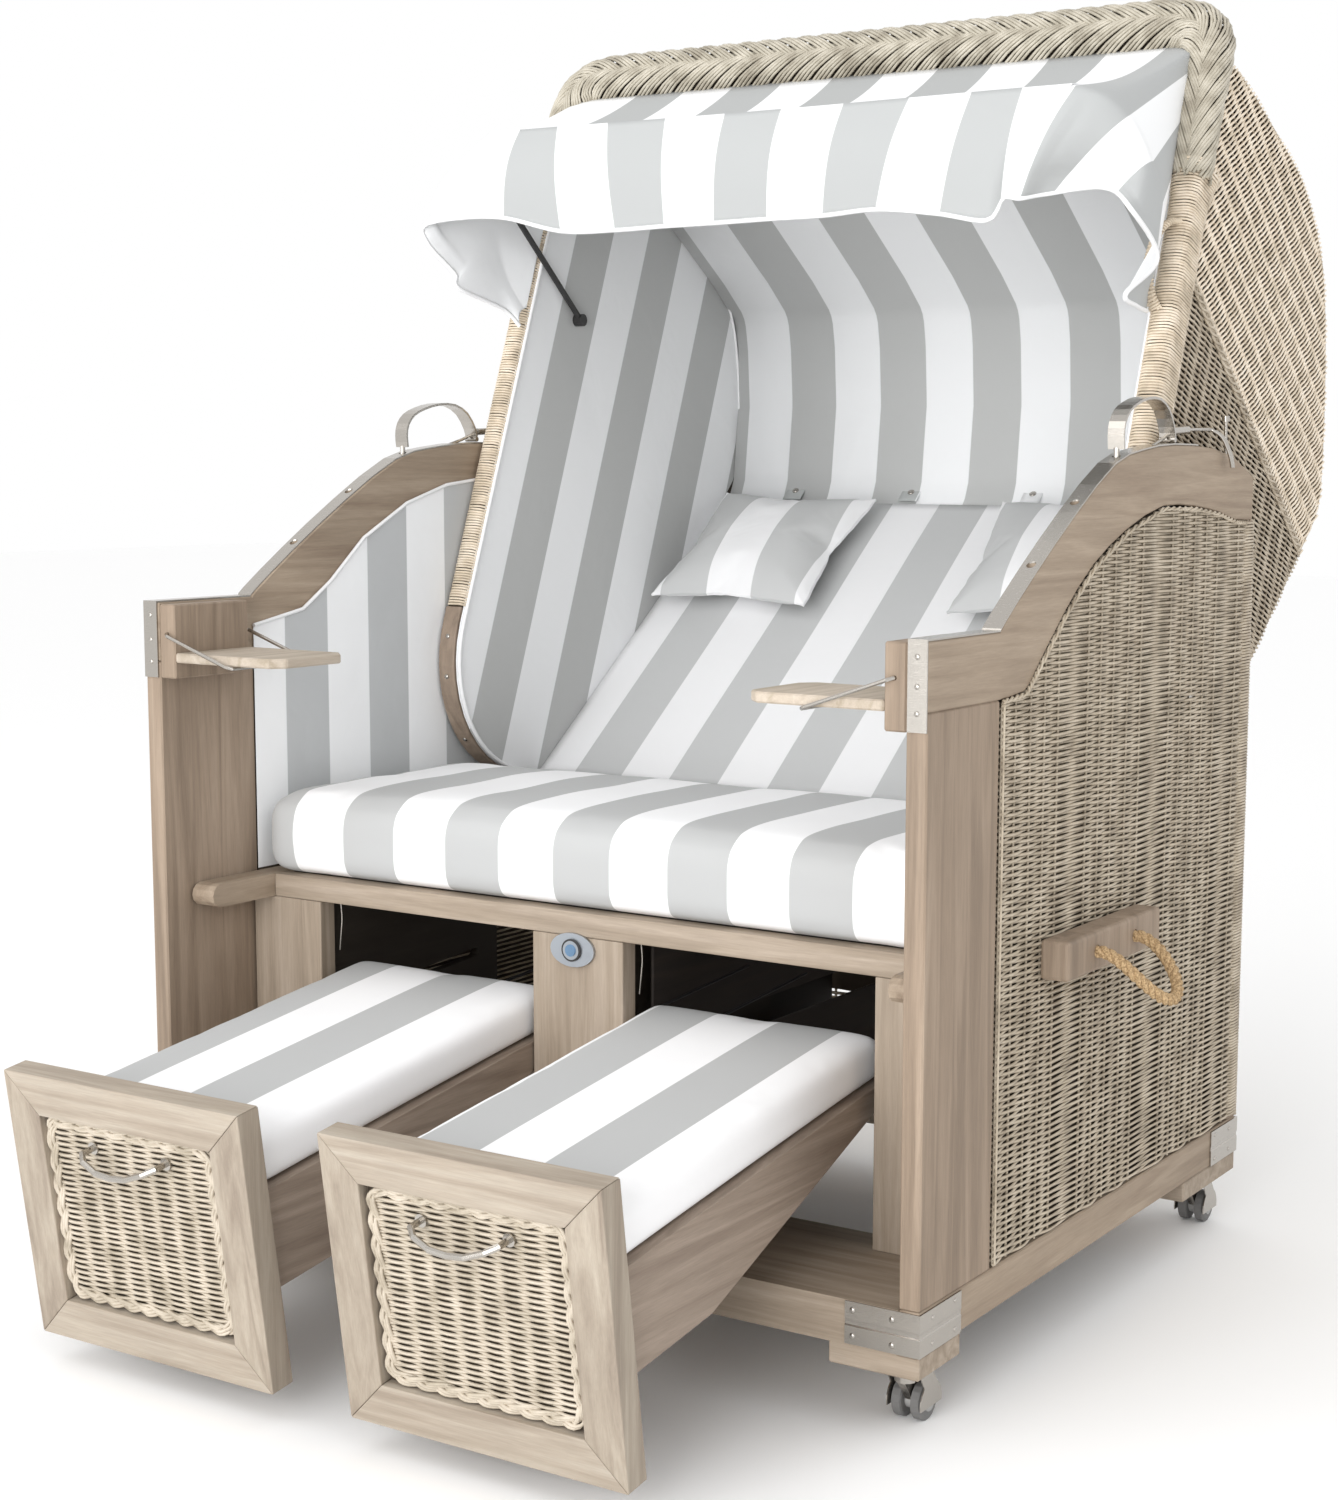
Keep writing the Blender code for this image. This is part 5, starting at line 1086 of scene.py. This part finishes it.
awning_canvas = striped_canvas("canvas_awning", (1, 0, 0), -0.4134, 0.0897, "#adafaf", "#eeeff0", 0.12)
awning_columns = 186
awning_sheet = soft_grid("awning_sheet", awning_columns, 40, awning_place, 0.0012, awning_canvas, None)
band_place = awning_sheet.data.attributes.new("band_place", "FLOAT", "POINT")
half = len(awning_sheet.data.vertices) // 2
for index in range(len(awning_sheet.data.vertices)):
    u = (index % half) % (awning_columns + 1) / awning_columns
    band_place.data[index].value = max((2 * u - 1) * awning_width, -0.460)
tree = awning_canvas.node_tree
dot = next(node for node in tree.nodes if node.type == "VECT_MATH" and node.operation == "DOT_PRODUCT")
position = add_node(tree, "ShaderNodeAttribute", attribute_name="band_place")
tree.links.new(position.outputs["Fac"], dot.outputs["Value"].links[0].to_socket)
tree.nodes.remove(dot)
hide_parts("awning")
hem_line = [awning_place(k / 240, 1.0) for k in range(241)]
binding = lay_canes("awning_binding", [hem_line], 0.0034, None, piping_white, 1)
for cloth in (awning_sheet, binding):
    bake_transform(cloth)

# Side lining: the inside of each side panel is covered with canvas from the seat up to the arm, under a piping,
# and shows its bare weave below the seat.
side_canvas = striped_canvas("canvas_side", (0, 1, 0), 0.2395 + front_y, 0.0897, "#bcbebf", "#f2f3f4", 0.3)
arm_piping = [(0.176, 0.882), (0.277, 0.900), (0.337, 0.938), (0.411, 0.999), (0.510, 1.049), (0.605, 1.076),
              (0.700, 1.086), (0.800, 1.078), (0.880, 1.060), (0.940, 1.040)]
side_sheet = [(y + front_y, z - 0.002) for y, z in reversed(arm_piping)]
side_sheet += [(0.176 + front_y, 0.535), (0.940 + front_y, 0.535)]
for side, sign in sides:
    lining = cut_out(side_sheet, lambda y, z, out: (sign * out, y, z), 0.5703, 0.5699, side_canvas)
    place_piece(lining, "side_lining_" + side, "chair_frame", None)
    lay_canes("side_piping_" + side, [[(sign * 0.5690, y + front_y, z) for y, z in arm_piping]], 0.0028,
              "chair_frame", piping_white, 1)
    inner_outline = [(0.183 + front_y, 0.163), (0.953 + front_y, 0.163), (0.953 + front_y, 0.530),
                     (0.183 + front_y, 0.530)]
    rows = weave(inner_outline, (1, 0), 2 * row_pitch, side_phase, 0.0015,
                 lambda y, z, out: (sign * (0.5680 - out), y, z), 0.0196)
    lay_canes("side_weave_inside_" + side, rows, stake_radius, "chair_frame")

# Back panel: an open grille of level cane rows woven over upright stakes, with daylight through its gaps, between
# two thin teak boards.
grille_outline = [(-0.5715, 0.163), (0.5715, 0.163), (0.5715, 0.548), (-0.5715, 0.548)]
rows = weave(grille_outline, (1, 0), 0.0085, lambda x, z: x / 0.0381, 0.0022,
             lambda x, z, out: (x, 0.973 + front_y + out, z), 0.0190)
rows += [[(x, 0.973 + front_y, 0.163), (x, 0.973 + front_y, 0.548)]
         for x in [-0.5715 + 0.0381 * k for k in range(31)]]
grille = lay_canes("back_grille", rows, 0.0026, "chair_frame", cane)
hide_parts("back_panel")
board_parts = [board((-0.5720, 0.960 + front_y, 0.163), (0.5720, 0.968 + front_y, 0.226), teak_across),
               board((-0.5720, 0.960 + front_y, 0.520), (0.5720, 0.968 + front_y, 0.5495), teak_across)]
join_pieces(board_parts, "back_grille_boards", "chair_frame")
# A dark sheet across the back of the bays, in front of the grille: painted shade for the dark inside of the bays.
rear_cloth = [(-0.5700, 0.272), (0.5700, 0.272), (0.5700, 0.519), (-0.5700, 0.519)]
bay_shade_sheet = cut_out(rear_cloth, lambda x, z, out: (x, out + front_y, z), 0.9640, 0.9650, painted_shade_backing)
place_piece(bay_shade_sheet, "back_bay_shade_sheet", "chair_frame", None)

# Bays: a partition on each side of the middle upright is two boards with a slot between them for the footrest rod;
# the boards are painted almost black, as painted shade for the dark inside of the bay. A bent steel wire hangs at the
# left of each bay and holds its footrest shut.
partitions = [board((sign * 0.0690 - 0.0025, 0.238 + front_y, low_z),
                    (sign * 0.0690 + 0.0025, 0.945 + front_y, high_z), teak_bay)
              for side, sign in sides for low_z, high_z in ((0.165, 0.322), (0.360, 0.497))]
join_pieces(partitions, "bay_partitions", "chair_frame")
for side, wire_x in (("left", -0.4395), ("right", 0.0765)):
    wire = [(wire_x, 0.202 + front_y, 0.497), (wire_x + 0.0015, 0.203 + front_y, 0.472),
            (wire_x, 0.202 + front_y, 0.448), (wire_x - 0.0025, 0.202 + front_y, 0.426)]
    lay_canes("bay_wire_" + side, [round_line(wire)], 0.0014, "chair_frame", steel, 1)

# Footrests: a mitred frame of four boards is filled with a woven panel and stands on two side boards. A bowed
# steel pull is screwed through the weave, and a thin pad lies on the bed behind it.
foot_tilt = math.radians(8.0)
rod_place = Vector((0, 0.2136 + front_y, 0.3412))


def on_foot(x, s, h):
    """A point of a footrest: s back from its front face, h up from its top edge."""
    dy, dz = s - 0.600, h + 0.1255
    return Vector((x, rod_place.y + dy * math.cos(foot_tilt) - dz * math.sin(foot_tilt),
                   rod_place.z + dy * math.sin(foot_tilt) + dz * math.cos(foot_tilt)))


foot_rail = teak("teak_footrest_rail", "x", "#928576", "#a39788", "#b1a799")
foot_stile = teak("teak_footrest_stile", "z", "#8b7e70", "#9c9081", "#aba091")
foot_board = teak("teak_footrest_board", "y", "#827265", "#928375", "#a39385")
foot_cane = cane_colour("synthetic_cane_footrest", "#a59a88", "#bbb09f", "#cabfaf")
inner, outer, low, rim = 0.0596, 0.4440, -0.347, 0.052
joint = 0.0002
frame_depth, board_depth = 0.035, 0.018
board_front, board_back, bed_top = 0.0352, 0.6320, -0.1115
weave_margin, border_margin, border_corner = 0.012, 0.0075, 0.014
braids, per_braid = 22, 8
for side, sign in sides:
    body = "footrest_body_" + side

    def face(u, v, s):
        return on_foot(sign * u, s, v)

    def bed(s, h, x):
        return on_foot(sign * x, s, h)

    parts = []
    for edge, inward in ((0, -rim), (low, rim)):
        parts.append(cut_out([(inner + joint, edge), (outer - joint, edge), (outer - rim - joint, edge + inward),
                              (inner + rim + joint, edge + inward)], face, 0, frame_depth, foot_rail, 0.0014))
    for edge, inward in ((inner, rim), (outer, -rim)):
        parts.append(cut_out([(edge, -joint), (edge, low + joint), (edge + inward, low + rim + joint),
                              (edge + inward, -rim - joint)], face, joint, frame_depth, foot_stile, 0.0014))
    board_side = [(board_front, bed_top), (board_front, -0.235), (0.200, -0.235), (board_back, -0.1313),
                  (board_back, bed_top)]
    for near in (inner + 0.015, outer - 0.033):
        parts.append(cut_out(board_side, bed, near, near + board_depth, foot_board, 0.001))
    parts.append(cut_out([(board_front, -0.1165), (board_back, -0.1165), (board_back, -0.1120),
                          (board_front, -0.1120)], bed, inner + 0.0332, outer - 0.0332, foot_board))
    shell = join_pieces(parts, "footrest_frame_" + side, body)
    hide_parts("footrest_box_" + side)

    left, right, base, top = inner + rim + 0.001, outer - rim - 0.001, low + rim + 0.001, -rim - 0.001
    # Dark sheet behind the footrest weave: painted shade for its gaps.
    panel = cut_out([(left, base), (right, base), (right, top), (left, top)], face, 0.0150, 0.0270, painted_shade_backing)
    place_piece(panel, "footrest_backing_" + side, body, None)
    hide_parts("footrest_weave_" + side)
    field = [(left + weave_margin, base + weave_margin), (right - weave_margin, base + weave_margin),
             (right - weave_margin, top - weave_margin), (left + weave_margin, top - weave_margin)]
    rows = weave(field, (1, 0), 0.00365, lambda u, v: (u - left) / 0.0320, 0.0026,
                 lambda u, v, out: on_foot(sign * u, 0.0118 - out,
                                           v + 0.0018 * noise.noise(Vector((u * 14, v * 6, sign * 3)))), 0.0053)
    lay_canes("footrest_weave_rows_" + side, rows, 0.0022, body, foot_cane)
    border, loop = [], []
    for u_side, v_side, start in ((1, 1, 0), (-1, 1, 90), (-1, -1, 180), (1, -1, 270)):
        corner_u = (right if u_side > 0 else left) - u_side * (border_margin + border_corner)
        corner_v = (top if v_side > 0 else base) - v_side * (border_margin + border_corner)
        for k in range(5):
            angle = math.radians(start + 90 * k / 4)
            loop.append((corner_u + border_corner * math.cos(angle), corner_v + border_corner * math.sin(angle)))
    loop.append(loop[0])
    loop_reach = distances(loop)
    for strand in range(3):
        line = []
        for k in range(braids * per_braid + 1):
            share = k / (braids * per_braid)
            u, v = along_line(loop, loop_reach, share)
            u2, v2 = along_line(loop, loop_reach, min(share + 0.002, 1.0))
            run = math.hypot(u2 - u, v2 - v) or 1
            nx, ny = (v2 - v) / run, -(u2 - u) / run
            if share > 0.997:
                nx, ny = 1.0, 0.0
            phase = 2 * math.pi * (k / per_braid / 2 + strand / 3)
            swing = 0.0042 * math.sin(phase)
            lift = 0.0026 * math.sin(2 * phase)
            line.append(on_foot(sign * (u + nx * swing), 0.0100 - lift, v + ny * swing))
        border.append(line)
        border.append([point + Vector((sign * 0.0030, -0.0006, 0.0030)) for point in line])
    lay_canes("footrest_border_" + side, border, 0.0023, body, foot_cane, rounder=1)

    pad = pad_mesh(0.350, 0.590, 0.062, 0.016)
    stuff(pad, 0.0085, 2.0, 0.005, 0.015)
    for vertex in pad.data.vertices:
        if vertex.co.z > 0.03:
            vertex.co.z += 0.004 * max(0, 1 - (vertex.co.x / 0.175) ** 4) * max(0, 1 - (vertex.co.y / 0.295) ** 6)
    for vertex in pad.data.vertices:
        thinner = 1 - 0.12 * (vertex.co.y + 0.295) / 0.59
        vertex.co = on_foot(sign * 0.2518 + vertex.co.x, 0.3340 + vertex.co.y,
                            -0.1112 + max(vertex.co.z, 0) * thinner)
    foot_edge = {"left": -0.4285, "right": 0.1050}[side]
    foot_canvas = striped_canvas("canvas_footrest_" + side, (1, 0, 0), foot_edge, 0.0905, wrinkle=0.12)
    place_piece(pad, "footrest_pad_" + side, body, foot_canvas)
    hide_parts("footrest_cushion_" + side)
    guide = [[(sign * 0.180, 0.225 + front_y, 0.402), (sign * 0.180, 0.450 + front_y, 0.421)]]
    if side == "right":
        guide.append([(0.0850, 0.205 + front_y, 0.402), (0.0860, 0.450 + front_y, 0.420)])
    lay_canes("footrest_guide_" + side, guide, 0.0018, body, bail_finish, 1)

# Rope handles: three strands of hemp are laid into a rope 16 mm thick, which hangs in a loop from the block that
# its two ends are glued into.
hemp, tree, shader = new_material("hemp_rope", "#a98d68", 0.9)
fibres = object_noise(tree, 420, Detail=4)
tree.links.new(colour_ramp(tree, fibres, (0.35, "#8d724f"), (0.65, "#c9ac84")), shader.inputs["Base Color"])
roughen(tree, fibres, 0.6, 0.001)
block_x, rope_y, rope_z = 0.6398, 0.440 + front_y, 0.516
for side, sign in sides:
    route = [Vector((0.6105, rope_y - 0.059, rope_z))]
    for k in range(17):
        angle = math.pi * k / 16
        swing = math.sin(angle)
        route.append(Vector((block_x + 0.010 + 0.068 * swing, rope_y - (0.059 + 0.012 * swing ** 2) * math.cos(angle),
                             rope_z - 0.062 * swing ** 1.5)))
    route.append(Vector((0.6105, rope_y + 0.059, rope_z)))
    reach = distances(route)
    strands = []
    for strand in range(3):
        line = []
        for k in range(161):
            spot = Vector(along_line(route, reach, k / 160))
            ahead = Vector(along_line(route, reach, min(k / 160 + 0.01, 1.0)))
            behind = Vector(along_line(route, reach, max(k / 160 - 0.01, 0.0)))
            run = (ahead - behind).normalized()
            one = run.cross(Vector((0.3, 0.2, 1))).normalized()
            two = run.cross(one)
            turn = 2 * math.pi * (k / 160 * reach[-1] / 0.034 + strand / 3)
            spot = spot + one * 0.0040 * math.cos(turn) + two * 0.0040 * math.sin(turn)
            line.append((sign * spot.x, spot.y, spot.z))
        strands.append(line)
    rope = lay_canes("laid_rope_" + side, strands, 0.0042, "chair_frame", hemp, 2)
    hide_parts("rope_handle_" + side)

# Casters: each has twin wheels with grey rubber treads and plastic hubs on a plated fork. A bent steel cover is
# riveted over the fork.
tread = grained("grey_rubber", "#6f6e6d", 0.7, 200, 0.2, 0.0004)
hub_plastic = grained("hub_plastic_grey", "#a3a2a0", 0.5, 300, 0.1, 0.0003)
for side, sign in sides:
    for end in ends:
        finish_node("caster_wheels_%s_%s" % (end, side), tread)
        low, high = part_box("caster_wheels_%s_%s" % (end, side))
        x, y, z = [(a + b) / 2 for a, b in zip(low, high)]
        cover = [(y + 0.0262 * math.cos(math.radians(t)), z + 0.0262 * math.sin(math.radians(t)))
                 for t in (-12, 6, 24, 42, 58)]
        cover += [(y - 0.006, 0.0742), (y - 0.034, 0.0742)]
        cover += [(y + 0.0262 * math.cos(math.radians(t)), z + 0.0262 * math.sin(math.radians(t)))
                  for t in (130, 147, 164, 180, 192)]
        plates = [cut_out(cover, lambda u, v, out: (x + out, u, v), near, far, steel)
                  for near, far in ((-0.0232, -0.0217), (0.0217, 0.0232))]
        plates.append(board((x - 0.0232, y - 0.046, 0.0742), (x + 0.0232, y - 0.002, 0.0774), steel, 0.0008))
        join_pieces(plates, "caster_cover_%s_%s" % (end, side), "caster_fork_body_%s_%s" % (end, side))
        hub = turned(24, 0.0120, 0.0428, (x, y, z), across_turn, hub_plastic)
        place_piece(hub, "caster_hub_%s_%s" % (end, side), "caster_wheels_body_%s_%s" % (end, side), None)

# Screws: pan-head screws, turned from stainless steel and driven flush to their heads, hold the straps, the corner
# angles and the bare legs of the hood.
head_lift = 0.0021
for side, sign in sides:
    heads = []
    for corner_y, inward in ((front_y, -1), (0.987 + front_y, 1)):
        for x, z in ((0.514, 0.1475), (0.514, 0.1165), (0.566, 0.1465), (0.566, 0.1160)):
            heads.append(domed_head((sign * x, corner_y + inward * head_lift, z), (0, inward, 0), 0.0038))
        for y, z in ((0.030, 0.1465), (0.030, 0.1160), (0.085, 0.1500), (0.085, 0.1150)):
            heads.append(domed_head((sign * (0.6000 + head_lift), corner_y - inward * y, z), (sign, 0, 0), 0.0034))
    for z in (0.842, 0.872, 0.905):
        heads.append(domed_head((sign * 0.5875, front_y - head_lift, z), (0, -1, 0), 0.0034))
    join_pieces(heads, "fitting_screws_" + side, "chair_frame")
    heads = []
    for t in (187, 206, 240):
        rim_a, rim_b = math.cos(math.radians(t)), math.sin(math.radians(t))
        outward = on_hood(0, rim_a, rim_b) - on_hood(0, 0, 0)
        heads.append(domed_head(on_hood(sign * 0.5500, rim_a * (leg_radius + 0.0003), rim_b * (leg_radius + 0.0003)),
                           outward, 0.0040))
    join_pieces(heads, "leg_screws_" + side, "hood_body")

# Hood keepers: behind each latch a small barrel on the arm's strap holds a rod that hooks down over the side, and a
# pin with a ball top stands behind it.
for side, sign in sides:
    x = sign * 0.5875
    rod = [(x, 0.228, 1.160), (x, 0.330, 1.162), (x + sign * 0.0060, 0.344, 1.160), (x + sign * 0.0160, 0.352, 1.150),
           (x + sign * 0.0235, 0.360, 1.128), (x + sign * 0.0240, 0.369, 1.111)]
    twin = [(px, py + 0.0065, pz) for px, py, pz in rod[2:]]
    strap = [(x, 0.120, 1.1330), (x, 0.170, 1.1455), (x, 0.209, 1.1575)]
    pin = [(x, 0.408, 1.105), (x, 0.404, 1.176)]
    lay_canes("keeper_rod_" + side, [round_line(rod), round_line(twin), strap, pin], 0.0024, "chair_frame", steel,
              2)
    barrel = [(x, 0.209, 1.1585), (x, 0.262, 1.1610)]
    ball = [(x, 0.4040, 1.1740), (x, 0.4038, 1.1815)]
    lay_canes("keeper_barrel_" + side, [barrel, ball], 0.0055, "chair_frame", steel, 3)

# Seat lock: a blued cylinder lock sits in a dark ring on a pale brushed oval plate, which is screwed to the front
# of the seat frame.
lock_plate = stainless("brushed_pale_plate", "#b4bac1", 0.32)
finish_node("seat_lock", lock_plate)
lock_parts = []
for radius, out, material in ((0.0150, 0.0006, bail_finish), (0.0125, 0.0010, lock_plate),
                              (0.0080, 0.0024, stainless("blued_lock_barrel", "#7f9fc0", 0.3))):
    lock_parts.append(turned(32, radius, 0.004, (-0.005, -0.3323 - out, 0.482), (math.pi / 2, 0, 0), material))
join_pieces(lock_parts, "seat_lock_barrel", "chair_frame")

bpy.context.view_layer.update()
